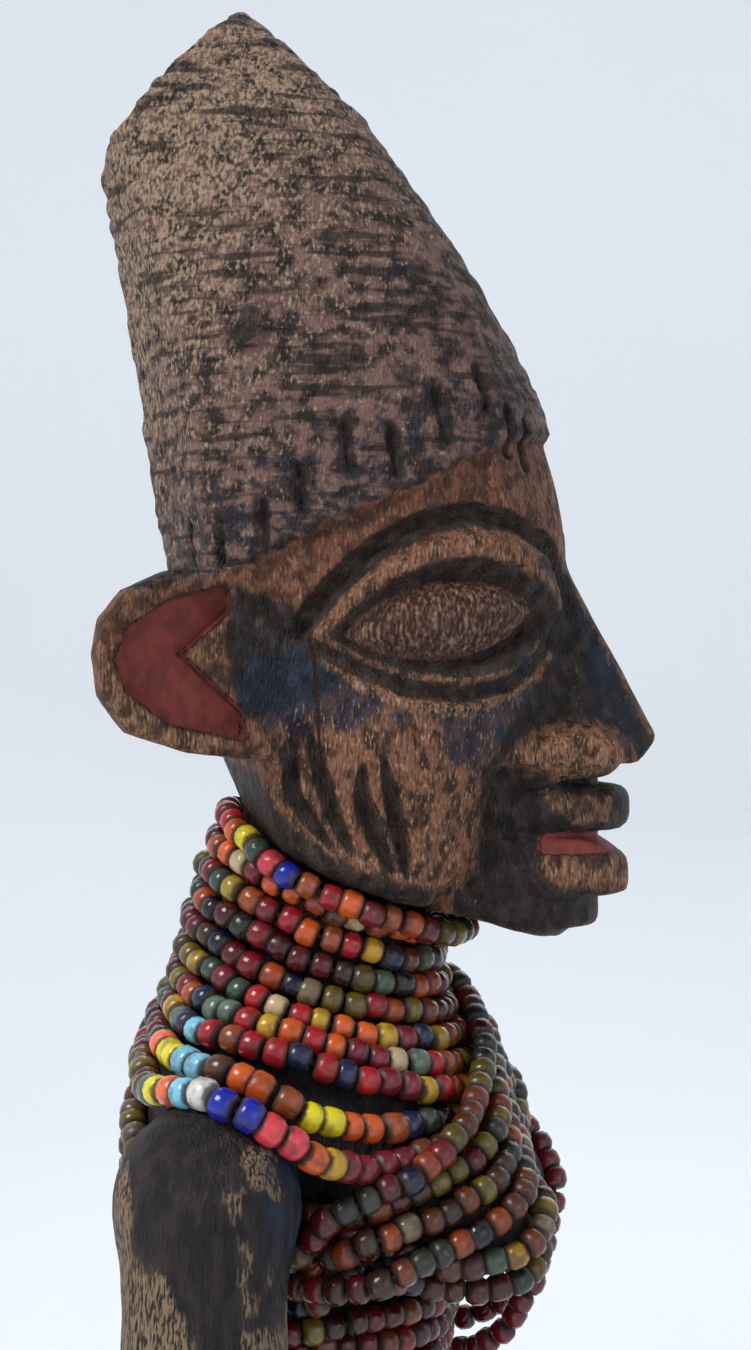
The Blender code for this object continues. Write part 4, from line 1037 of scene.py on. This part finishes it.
def wood_fibre_group():
    """Short upright fibres of open wood, as a fine and a broad pattern and a height."""
    tree, given, result = effect_group(
        "wood fibre", {"Width": 0.0005, "Length": 0.002}, ["Fine", "Broad", "Height"])
    fine = cloud(tree, given["Width"], given["Length"], 3.0)
    wide = product(tree, given["Width"], 5.0)
    broad = cloud(tree, wide, product(tree, given["Length"], 2.5), 4.0)
    feed(tree, fine, result["Fine"])
    feed(tree, broad, result["Broad"])
    feed(tree, calculate(tree, "ADD", fine, product(tree, broad, 1.5)), result["Height"])
    return tree


def grime_group():
    """Blotches of settled dirt."""
    tree, given, result = effect_group("grime", {"Amount": 0.5, "Size": 0.004}, ["Coverage"])
    blotches = cloud(tree, given["Size"], given["Size"], 5.0)
    start = calculate(tree, "SUBTRACT", 0.85, product(tree, given["Amount"], 0.6))
    feed(tree, soft_step(tree, blotches, start, calculate(tree, "ADD", start, 0.16)), result["Coverage"])
    return tree


RAGGED_PATCH = ragged_patch_group()
WOOD_FIBRE = wood_fibre_group()
GRIME = grime_group()


def patch(tree, edge, raggedness, width, softness):
    """Coverage of a ragged patch, from a distance kept on the points or worked out from one."""
    if isinstance(edge, str):
        edge = kept(tree, edge)
    return placed(tree, RAGGED_PATCH, Edge=edge, Raggedness=raggedness, Grain_width=width,
                  Softness=softness)["Coverage"]


def dirt(tree, amount, size):
    """Coverage of blotches of dirt."""
    return placed(tree, GRIME, Amount=amount, Size=size)["Coverage"]


def new_material(name, roughness):
    """A material with its Principled shader. Returns the material, its tree and the shader's inputs."""
    material = bpy.data.materials.new(name)
    material.use_nodes = True
    shader = material.node_tree.nodes["Principled BSDF"]
    shader.inputs["Roughness"].default_value = roughness
    return material, material.node_tree, shader.inputs


def raised(tree, height, strength, distance):
    """A bump that feeds a shader's normal."""
    node = tree.nodes.new("ShaderNodeBump")
    node.inputs["Strength"].default_value = strength
    node.inputs["Distance"].default_value = distance
    tree.links.new(height, node.inputs["Height"])
    return node.outputs["Normal"]


def face_colour(tree, fibre):
    """Bare brown wood of the face with tan flecks and darker streaks."""
    colour = layered(tree, soft_step(tree, fibre["Broad"], 0.38, 0.56), WOOD_DARK, WOOD_BROWN)
    pores = soft_step(tree, fibre["Fine"], 0.46, 0.36)
    colour = layered(tree, product(tree, pores, 0.65), colour, WOOD_RED)
    flecks = soft_step(tree, fibre["Fine"], 0.57, 0.68)
    colour = layered(tree, product(tree, flecks, 0.85), colour, WOOD_TAN)
    in_eye = soft_step(tree, kept(tree, "eye_edge"), 0.0, -1.2)
    grain = cloud(tree, 0.0004, 0.0022, 5.0)
    eye = layered(tree, soft_step(tree, grain, 0.43, 0.53), WOOD_RED, EYE_BROWN)
    eye = layered(tree, product(tree, soft_step(tree, grain, 0.55, 0.68), 0.6), eye, WOOD_TAN)
    dull = soft_step(tree, cloud(tree, 0.003, 0.003, 3.0), 0.5, 0.7)
    eye = layered(tree, product(tree, dull, 0.6), eye, SOOT_AND_SHADE_GREY)
    return layered(tree, in_eye, colour, eye)


def hair_colour(tree, pits, rise):
    """Pitted wood of the coiffure with khaki flecks in bands, more of them toward the top and back as painted
    light, and dark glossy flakes low down.
    """
    bands = cloud(tree, 0.009, 0.0011, 3.0)
    clumps = cloud(tree, 0.0014, 0.0011, 5.0)
    # More khaki toward the lit top and back of the coiffure: painted light.
    tan = calculate(tree, "ADD", kept(tree, "hair_khaki_and_painted_light"), calculate(tree, "SUBTRACT", bands, 0.5))
    colour = layered(tree, soft_step(tree, pits["Broad"], 0.38, 0.62), HAIR_DARK, HAIR_BROWN)
    start = calculate(tree, "SUBTRACT", 0.82, product(tree, tan, 0.2))
    start = calculate(tree, "SUBTRACT", start, product(tree, clumps, 0.44))
    khaki = soft_step(tree, pits["Fine"], start, calculate(tree, "ADD", start, 0.24))
    colour = layered(tree, product(tree, khaki, 0.75), colour, HAIR_KHAKI)
    lines = soft_step(tree, bands, 0.47, 0.37)
    colour = layered(tree, product(tree, lines, 0.7), colour, SOOT_AND_SHADE_DARK)
    low_hair = calculate(tree, "SUBTRACT", 1.0, soft_step(tree, rise, 6.0, 26.0))
    flakes = dirt(tree, product(tree, low_hair, 0.62), 0.0015)
    flakes = product(tree, flakes, soft_step(tree, rise, -0.5, 0.8))
    dark = layered(tree, soft_step(tree, pits["Broad"], 0.45, 0.6), PURPLE_DARK, BLUE_DARK)
    return layered(tree, product(tree, flakes, 0.88), colour, dark), flakes


def head_wood():
    """Painted and sooted wood of the head and coiffure."""
    material, tree, shader = new_material("painted_head_wood", 0.62)
    shader["Specular IOR Level"].default_value = WOOD_SHINE
    fibre = placed(tree, WOOD_FIBRE, Width=0.00027, Length=0.001)
    pits = placed(tree, WOOD_FIBRE, Width=0.00042, Length=0.0007)
    rise = kept(tree, "hair_rise")
    face = face_colour(tree, fibre)
    worn = patch(tree, "worn_edge", *HEAD_PATCHES["worn_edge"])
    bare = soft_step(tree, fibre["Fine"], 0.42, 0.60)
    face = layered(tree, product(tree, bare, worn, 0.28), face, WOOD_TAN)
    near_hair = soft_step(tree, rise, -15.0, -1.0)
    near_red = soft_step(tree, kept(tree, "red_edge"), 9.0, 3.0)
    smoked = product(tree, calculate(tree, "MAXIMUM", near_hair, near_red), 0.66)
    smoke = dirt(tree, smoked, 0.0018)
    face = layered(tree, product(tree, near_hair, 0.4), face, FOREHEAD_RED)
    face = layered(tree, product(tree, smoke, 0.8), face, SMOKED_BROWN)
    hair, flakes = hair_colour(tree, pits, rise)
    coiffure = patch(tree, product(tree, rise, -1.0), *HEAD_PATCHES["hairline"])
    colour = layered(tree, coiffure, face, hair)
    shade = cloud(tree, 0.0016, 0.0022, 5.0)
    blue = patch(tree, "blue_edge", *HEAD_PATCHES["blue_edge"])
    blue = product(tree, blue, soft_step(tree, fibre["Fine"], 0.76, 0.56))
    blue_paint = layered(tree, soft_step(tree, shade, 0.46, 0.7), BLUE_DARK, BLUE_BRIGHT)
    covered = calculate(tree, "SUBTRACT", 1.0, product(tree, worn, 0.8))
    blue = product(tree, blue, covered)
    soot = patch(tree, "soot_edge", *HEAD_PATCHES["soot_edge"])
    soot = product(tree, soot, covered, soft_step(tree, fibre["Fine"], 0.84, 0.66))
    # Painted shade and dirt: the carved cuts, the eye socket and the broken hollow are darkened with the soot
    # colours.
    cuts = patch(tree, "cut_edge", *HEAD_PATCHES["cut_edge"])
    soot_and_shade_paint = layered(tree, soft_step(tree, shade, 0.38, 0.72), SOOT_AND_SHADE_DARK, SOOT_AND_SHADE_GREY)
    soot = calculate(tree, "MAXIMUM", soot, product(tree, cuts, 0.92))
    colour = layered(tree, product(tree, soot, 0.94), colour, soot_and_shade_paint)
    colour = layered(tree, product(tree, blue, 0.75), colour, blue_paint)
    red = patch(tree, "red_edge", *HEAD_PATCHES["red_edge"])
    red_paint = layered(tree, soft_step(tree, shade, 0.3, 0.66), RED_DARK, RED_BRIGHT)
    colour = layered(tree, red, colour, red_paint)
    beside = calculate(tree, "ABSOLUTE", kept(tree, "crack_edge"))
    crack = product(tree, soft_step(tree, beside, CRACK_HALF * 2.0, CRACK_HALF * 0.5),
                    soft_step(tree, kept(tree, "crack_past"), 0.6, -0.6))
    colour = layered(tree, crack, colour, CRACK_DARK)
    dust = dirt(tree, 0.36, 0.004)
    colour = layered(tree, product(tree, dust, 0.16), colour, HAIR_KHAKI)
    feed(tree, colour, shader["Base Color"])
    gloss = calculate(tree, "MAXIMUM", product(tree, flakes, coiffure), blue)
    rough = between(tree, gloss, between(tree, soot, 0.66, 0.5), 0.36)
    feed(tree, rough, shader["Roughness"])
    height = calculate(tree, "ADD", fibre["Height"], pits["Fine"])
    height = product(tree, height, between(tree, red, 1.0, 0.25))
    feed(tree, raised(tree, height, 1.0, 0.00045), shader["Normal"])
    return material


def body_wood():
    """Dark handled wood of the body and base, with weathered patches."""
    material, tree, shader = new_material("handled_body_wood", 0.6)
    shader["Specular IOR Level"].default_value = WOOD_SHINE
    fibre = placed(tree, WOOD_FIBRE, Width=0.00028, Length=0.0012)
    colour = layered(tree, soft_step(tree, fibre["Broad"], 0.4, 0.62), BODY_DARK, BODY_GREY)
    worn = patch(tree, "worn_edge", *BODY_PATCHES["worn_edge"])
    rubbed = dirt(tree, 0.34, 0.01)
    worn = calculate(tree, "MAXIMUM", worn, product(tree, rubbed, 0.5))
    open_grain = product(tree, worn, soft_step(tree, fibre["Fine"], 0.42, 0.56))
    colour = layered(tree, product(tree, open_grain, 0.72), colour, BODY_TAN)
    shade = cloud(tree, 0.002, 0.004, 5.0)
    blue = patch(tree, "blue_edge", *BODY_PATCHES["blue_edge"])
    blue = product(tree, blue, soft_step(tree, shade, 0.36, 0.6))
    colour = layered(tree, product(tree, blue, 0.6), colour, BLUE_BRIGHT)
    feed(tree, colour, shader["Base Color"])
    feed(tree, between(tree, open_grain, 0.5, 0.75), shader["Roughness"])
    feed(tree, raised(tree, fibre["Height"], 0.9, 0.0005), shader["Normal"])
    return material


def bead_glass(name, soiling):
    """Opaque coloured glass, with grime and painted shade where the beads meet."""
    material, tree, shader = new_material(name, 0.15)
    tint = tree.nodes.new("ShaderNodeAttribute")
    tint.attribute_name = "bead_colour"
    blotches = dirt(tree, soiling, 0.0016)
    wander = cloud(tree, 0.0008, 0.0008, 2.0)
    # Painted shade and grime: each bead darkens toward its ends, where it meets the next.
    reach = calculate(tree, "ADD", kept(tree, "bead_end"), product(tree, wander, 0.5))
    ends = soft_step(tree, reach, 0.88, 1.2)
    grime = calculate(tree, "MAXIMUM", product(tree, blotches, 0.6), ends)
    colour = layered(tree, product(tree, grime, 0.85), tint.outputs["Color"], paint(44, 32, 26))
    feed(tree, colour, shader["Base Color"])
    feed(tree, between(tree, grime, 0.16, 0.55), shader["Roughness"])
    shader["IOR"].default_value = 1.52
    return material


def cotton():
    """Grubby dark cotton of the threads."""
    material, tree, shader = new_material("bead_thread", 0.9)
    twist = cloud(tree, 0.0003, 0.0006, 2.0)
    feed(tree, layered(tree, twist, paint(30, 22, 18), paint(70, 52, 40)), shader["Base Color"])
    feed(tree, raised(tree, twist, 0.4, 0.0001), shader["Normal"])
    return material


# Beads: sizes in metres, sides, roundness, and how far apart they are strung
BEAD_RADIUS = 0.00151
BEAD_LENGTH = 0.0024
BEAD_PITCH = 0.00245
BEAD_SIDES = 12
BEAD_BANDS = 4
BEAD_ROUNDING = 0.46
THREAD_RADIUS = 0.00035
STRING_WANDER = 0.00014
RING_REACH = 2.1 * 0.8

BEAD_COLOURS = {
    "red": paint(160, 28, 38),
    "dark red": paint(112, 26, 38),
    "wine": paint(112, 14, 26),
    "pink red": paint(206, 60, 70),
    "orange": paint(204, 88, 34),
    "rust": paint(148, 72, 38),
    "coral": paint(222, 106, 66),
    "yellow": paint(226, 208, 26),
    "ochre": paint(150, 126, 44),
    "mustard": paint(188, 144, 36),
    "sky": paint(122, 190, 214),
    "blue": paint(24, 38, 150),
    "navy": paint(30, 38, 68),
    "grey green": paint(92, 112, 94),
    "dark green": paint(54, 70, 58),
    "white": paint(216, 212, 206),
    "cream": paint(190, 165, 126),
    "brown": paint(92, 56, 38),
}

# How many of each colour each family of strings has
FAMILY_MIX = {
    "neck": {"rust": 5, "red": 4, "dark red": 4, "orange": 4, "ochre": 4, "grey green": 2, "dark green": 1,
             "navy": 2, "brown": 2, "cream": 1, "mustard": 1},
    "sash": {"rust": 4, "orange": 3, "red": 3, "dark red": 3, "ochre": 3, "grey green": 2, "dark green": 2,
             "navy": 2, "brown": 2, "mustard": 1, "cream": 1},
    "waist": {"wine": 7, "red": 4, "dark red": 4, "rust": 2, "ochre": 1, "grey green": 1},
    "hanging": {"wine": 9, "dark red": 3},
}

# Least and greatest brightness of the beads of each family, against the plain colours
FAMILY_SHADES = {"neck": (0.18, 0.6), "sash": (0.15, 0.54), "waist": (0.2, 0.6), "hanging": (0.5, 1.0)}

# How much grime lies on the beads of each family
FAMILY_SOILING = {"neck": 0.58, "sash": 0.7, "waist": 0.6, "hanging": 0.4}

# Order of the beads on the lower rings, from the first bead that the right side shows at the back,
# and which bead from the back that is
RING_ORDERS = {
    "neck_ring_10": (8, "grey_green yellow coral sky white blue blue pink_red pink_red orange mustard dark_red "
                        "dark_red dark_red dark_red"),
    "neck_ring_09": (5, "coral yellow yellow sky sky brown orange orange rust yellow yellow orange orange rust "
                        "navy dark_green"),
    "neck_ring_08": (3, "mustard grey_green navy sky red rust red red navy red navy red dark_red dark_red "
                        "mustard red rust orange grey_green"),
    "neck_ring_07": (3, "dark_red rust navy grey_green grey_green red mustard orange red orange dark_red "
                        "dark_red cream grey_green red rust"),
    "neck_ring_01": (1, "wine red orange yellow dark_green pink_red blue rust red orange dark_red rust"),
    "neck_ring_02": (2, "rust orange cream wine orange orange rust brown cream rust orange orange"),
    "neck_ring_03": (2, "wine dark_green ochre rust dark_red red orange rust red mustard"),
    "neck_ring_06": (3, "ochre dark_green dark_red dark_green red cream red mustard orange orange mustard "
                        "dark_red navy"),
}

# How much larger than the others the beads of the lowest rings are
RING_GROWTH = {"neck_ring_08": 1.05, "neck_ring_09": 1.10, "neck_ring_10": 1.12}


def centre_line(node):
    """Points along the middle of a closed tube with four sides, in order round the loop."""
    waiting = np.unique(read_points(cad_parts[node].data.vertices, "co").round(6), axis=0)
    middles = []
    while len(waiting):
        near = np.linalg.norm(waiting - waiting[0], axis=1) < RING_REACH * BEAD_RADIUS
        middles.append(waiting[near].mean(axis=0))
        waiting = waiting[~near]
    route = [middles.pop(0)]
    while middles:
        gaps = [np.linalg.norm(middle - route[-1]) for middle in middles]
        route.append(middles.pop(int(np.argmin(gaps))))
    return np.array(route)


def rounded_loop(corners):
    """A smooth closed curve through a few points."""
    pieces = []
    t = np.linspace(0.0, 1.0, 12, endpoint=False)[:, None]
    for k in range(len(corners)):
        p0, p1, p2, p3 = (corners[(k + offset) % len(corners)] for offset in (-1, 0, 1, 2))
        pieces.append(0.5 * (2.0 * p1 + (p2 - p0) * t + (2.0 * p0 - 5.0 * p1 + 4.0 * p2 - p3) * t ** 2
                             + (3.0 * p1 - p0 - 3.0 * p2 + p3) * t ** 3))
    return np.vstack(pieces)


def strung_places(node):
    """Evenly strung bead middles along a node's centre line, starting at the back and going round the right."""
    loop = rounded_loop(centre_line(node))
    closed = np.vstack((loop, loop[:1]))
    walked = np.concatenate(([0.0], np.cumsum(np.linalg.norm(np.diff(closed, axis=0), axis=1))))
    count = int(round(walked[-1] / (BEAD_PITCH * RING_GROWTH.get(node, 1.0))))
    wanted = np.linspace(0.0, walked[-1], count, endpoint=False)
    places = np.stack([np.interp(wanted, walked, closed[:, k]) for k in range(3)], axis=1)
    start = int(np.argmax(places[:, 1] - 0.14 * places[:, 0]))
    places = np.roll(places, -start, axis=0)
    if places[count // 6, 0] > places[-(count // 6), 0]:
        places = np.roll(places[::-1], 1, axis=0)
    return places


def centre_mesh(node, rng):
    """A closed line with a point for each bead, which carries the bead's colour and size."""
    places = strung_places(node)
    count = len(places)
    places = places + rng.normal(0.0, STRING_WANDER, places.shape)
    mesh = bpy.data.meshes.new(node + "_line")
    mesh.from_pydata(places.tolist(), [(k, (k + 1) % count) for k in range(count)], [])
    family = FAMILY_MIX[node.split("_")[0]]
    names = list(family)
    shares = np.array([family[name] for name in names], dtype=float)
    order = [names[k] for k in rng.choice(len(names), count, p=shares / shares.sum())]
    first, listed = RING_ORDERS.get(node, (0, ""))
    names = [name.replace("_", " ") for name in listed.split()]
    order[first:first + len(names)] = names
    colours = np.array([BEAD_COLOURS[name] for name in order])
    shades = rng.uniform(*FAMILY_SHADES[node.split("_")[0]], count)
    shades[first:first + len(names)] = rng.uniform(0.85, 1.1, len(names))
    colours[:, :3] *= shades[:, None]
    layer = mesh.attributes.new("bead_colour", "FLOAT_COLOR", "POINT")
    layer.data.foreach_set("color", colours.ravel())
    girths = rng.uniform(0.93, 1.05, count) * RING_GROWTH.get(node, 1.0)
    sizes = np.stack((girths, girths, rng.uniform(0.86, 1.1, count) * RING_GROWTH.get(node, 1.0)), axis=1)
    layer = mesh.attributes.new("bead_size", "FLOAT_VECTOR", "POINT")
    layer.data.foreach_set("vector", sizes.ravel())
    return mesh


def strung_bead_tree():
    """Geometry Nodes that string barrel beads along a closed line on a thread."""
    tree = bpy.data.node_groups.new("strung beads", "GeometryNodeTree")
    sockets = {}
    for label, kind, value in (
            ("Line", "Geometry", None), ("Bead radius", "Float", BEAD_RADIUS),
            ("Bead length", "Float", BEAD_LENGTH), ("Bead rounding", "Float", BEAD_ROUNDING),
            ("Thread radius", "Float", THREAD_RADIUS), ("Glass", "Material", None),
            ("Thread", "Material", None)):
        socket = tree.interface.new_socket(label, in_out="INPUT", socket_type="NodeSocket" + kind)
        sockets[label] = socket.identifier
        if value is not None:
            socket.default_value = value
    tree.interface.new_socket("Strung beads", in_out="OUTPUT", socket_type="NodeSocketGeometry")
    given = tree.nodes.new("NodeGroupInput").outputs

    def node(kind, **inputs):
        made = tree.nodes.new(kind)
        for label, value in inputs.items():
            feed(tree, value, made.inputs[label.replace("_", " ")])
        return made.outputs[0]

    def marked(geometry, name, domain, value):
        made = tree.nodes.new("GeometryNodeStoreNamedAttribute")
        made.data_type = "FLOAT"
        made.domain = domain
        for label, given_value in (("Geometry", geometry), ("Name", name), ("Value", value)):
            feed(tree, given_value, made.inputs[label])
        return made.outputs[0]

    def reading(name, data_type):
        made = tree.nodes.new("GeometryNodeInputNamedAttribute")
        made.data_type = data_type
        made.inputs["Name"].default_value = name
        return made.outputs["Attribute"]

    barrel = node("GeometryNodeMeshCylinder", Vertices=BEAD_SIDES, Side_Segments=BEAD_BANDS,
                  Radius=given["Bead radius"], Depth=given["Bead length"])
    parts = tree.nodes.new("ShaderNodeSeparateXYZ")
    feed(tree, node("GeometryNodeInputPosition"), parts.inputs[0])
    across, aside, along = parts.outputs
    share = calculate(tree, "DIVIDE", along, product(tree, given["Bead length"], 0.5))
    share = calculate(tree, "ABSOLUTE", share)
    fall = product(tree, calculate(tree, "POWER", share, 4.0), given["Bead rounding"])
    girth = calculate(tree, "SQRT", calculate(tree, "SUBTRACT", 1.0, fall))
    place = node("ShaderNodeCombineXYZ", X=product(tree, across, girth), Y=product(tree, aside, girth), Z=along)
    rounded = node("GeometryNodeSetPosition", Geometry=barrel, Position=place)
    smooth = node("GeometryNodeSetShadeSmooth", Geometry=marked(rounded, "bead_end", "POINT", share))
    line = node("GeometryNodeMeshToCurve", Mesh=given["Line"])
    turn = node("FunctionNodeAlignRotationToVector", Vector=node("GeometryNodeInputTangent"))
    beads = node("GeometryNodeInstanceOnPoints", Points=line, Instance=smooth, Rotation=turn,
                 Scale=reading("bead_size", "FLOAT_VECTOR"))
    profile = node("GeometryNodeCurvePrimitiveCircle", Resolution=6, Radius=given["Thread radius"])
    thread = node("GeometryNodeCurveToMesh", Curve=line, Profile_Curve=profile)
    joined = tree.nodes.new("GeometryNodeJoinGeometry")
    for part in (marked(thread, "on_thread", "FACE", 1.0), beads):
        tree.links.new(part, joined.inputs[0])
    real = node("GeometryNodeRealizeInstances", Geometry=joined.outputs[0])
    glassy = node("GeometryNodeSetMaterial", Geometry=real, Material=given["Glass"])
    is_thread = node("FunctionNodeCompare", A=reading("on_thread", "FLOAT"), B=0.5)
    done = node("GeometryNodeSetMaterial", Geometry=glassy, Selection=is_thread, Material=given["Thread"])
    tree.links.new(done, tree.nodes.new("NodeGroupOutput").inputs[0])
    return tree, sockets


def bead_strings():
    """Replace each plain tube with real beads on a thread."""
    tree, sockets = strung_bead_tree()
    thread = cotton()
    glass = {family: bead_glass(family + "_bead_glass", soiling) for family, soiling in FAMILY_SOILING.items()}
    for turn, node in enumerate(sorted(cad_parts)):
        if node == "figure":
            continue
        family = node.split("_")[0]
        mesh = centre_mesh(node, np.random.default_rng(400 + turn))
        line = put_in(node + "_line", mesh)
        strung = line.modifiers.new("strung", "NODES")
        strung.node_group = tree
        strung[sockets["Glass"]] = glass[family]
        strung[sockets["Thread"]] = thread
        piece = put_in(node + "_beads", made_plain(line))
        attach(piece, "root")
        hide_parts(node)


def figure():
    """The carving in its fine form, in place of the plain one."""
    piece = carved_piece()
    piece.data.materials.clear()
    piece.data.materials.append(head_wood())
    piece.data.materials.append(body_wood())
    level = (read_points(piece.data.polygons, "center")[:, 2] - BASE_HEIGHT) / STEP + SOLE_LEVEL
    piece.data.polygons.foreach_set("material_index", (level < NECK_BREAK).astype(np.int32))
    piece.data.shade_smooth()
    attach(piece, "root")
    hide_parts("figure")


# Stage: a pale round floor that rises into a wall, and soft lights (place, target, size, watts, colour)
STAGE_RADIUS = 1.3
STAGE_BEND = 0.5
STAGE_HEIGHT = 1.6
AIM = (0.0, -0.008, 0.2241)
LIGHTS = {
    "soft_key": ((-0.50, 0.50, 1.00), AIM, 0.5, 9.5, (1.0, 0.98, 0.95)),
    "front_fill": ((-0.65, -0.75, 0.45), AIM, 0.7, 1.0, (0.92, 0.96, 1.0)),
    "far_side": ((0.8, -0.1, 0.7), AIM, 0.8, 2.0, (0.95, 0.97, 1.0)),
    "wall_wash": ((0.35, 0.1, 0.9), (1.3, 0.0, 0.3), 0.8, 1.3, (0.92, 0.96, 1.0)),
}

# Camera: where it stands round the figure, how far off, its film height in millimetres, and half the
# height and the scale of the photograph in pixels
CAMERA_AZIMUTH = math.radians(278)
CAMERA_DISTANCE = 0.240
CAMERA_TALL = 24.0
HALF_FRAME = 675.0
PIXELS_PER_MM = 8.7


def stage():
    """The pale floor and wall."""
    bend = [(STAGE_RADIUS - STAGE_BEND + STAGE_BEND * math.sin(t), STAGE_BEND - STAGE_BEND * math.cos(t))
            for t in np.linspace(0.0, math.pi / 2, 12)]
    profile = [(0.0, 0.0)] + bend + [(STAGE_RADIUS, STAGE_HEIGHT)]
    mesh = bpy.data.meshes.new("pale_floor")
    mesh.from_pydata([(r, 0.0, z) for r, z in profile], [(k, k + 1) for k in range(len(profile) - 1)], [])
    floor = put_in("pale_floor", mesh)
    turned = floor.modifiers.new("turned", "SCREW")
    turned.steps = 96
    turned.render_steps = 96
    turned.use_merge_vertices = True
    turned.merge_threshold = 0.0001
    material, tree, shader = new_material("pale_floor", 0.8)
    shade = cloud(tree, 0.4, 0.4, 2.0)
    feed(tree, layered(tree, shade, paint(234, 238, 243), paint(241, 244, 247)), shader["Base Color"])
    mesh.materials.append(material)


def aimed(name, data, place, target):
    """A lamp or camera at a place, looking at a target."""
    item = put_in(name, data)
    item.location = place
    item.rotation_euler = (Vector(target) - Vector(place)).to_track_quat("-Z", "Y").to_euler()
    return item


def lights():
    """Soft studio light."""
    for name, (place, target, size, watts, colour) in LIGHTS.items():
        lamp = bpy.data.lights.new(name, "AREA")
        lamp.size = size
        lamp.energy = watts
        lamp.color = colour
        aimed(name, lamp, place, target)
    world = bpy.data.worlds.new("pale_room")
    world.use_nodes = True
    background = world.node_tree.nodes["Background"]
    background.inputs["Color"].default_value = (0.90, 0.94, 1.0, 1.0)
    background.inputs["Strength"].default_value = 0.32
    bpy.context.scene.world = world
    bpy.context.scene.view_settings.view_transform = "Standard"


def camera():
    """The photograph's view: level with the face, from the figure's right."""
    lens = bpy.data.cameras.new("photo_view")
    lens.sensor_fit = "VERTICAL"
    lens.sensor_height = CAMERA_TALL
    lens.angle_y = 2.0 * math.atan(HALF_FRAME / (PIXELS_PER_MM * CAMERA_DISTANCE * 1000.0))
    lens.clip_start = 0.01
    away = Vector((math.sin(CAMERA_AZIMUTH), -math.cos(CAMERA_AZIMUTH), 0.0))
    bpy.context.scene.camera = aimed("photo_view", lens, Vector(AIM) + CAMERA_DISTANCE * away, AIM)


camera()
lights()
stage()
figure()
bead_strings()
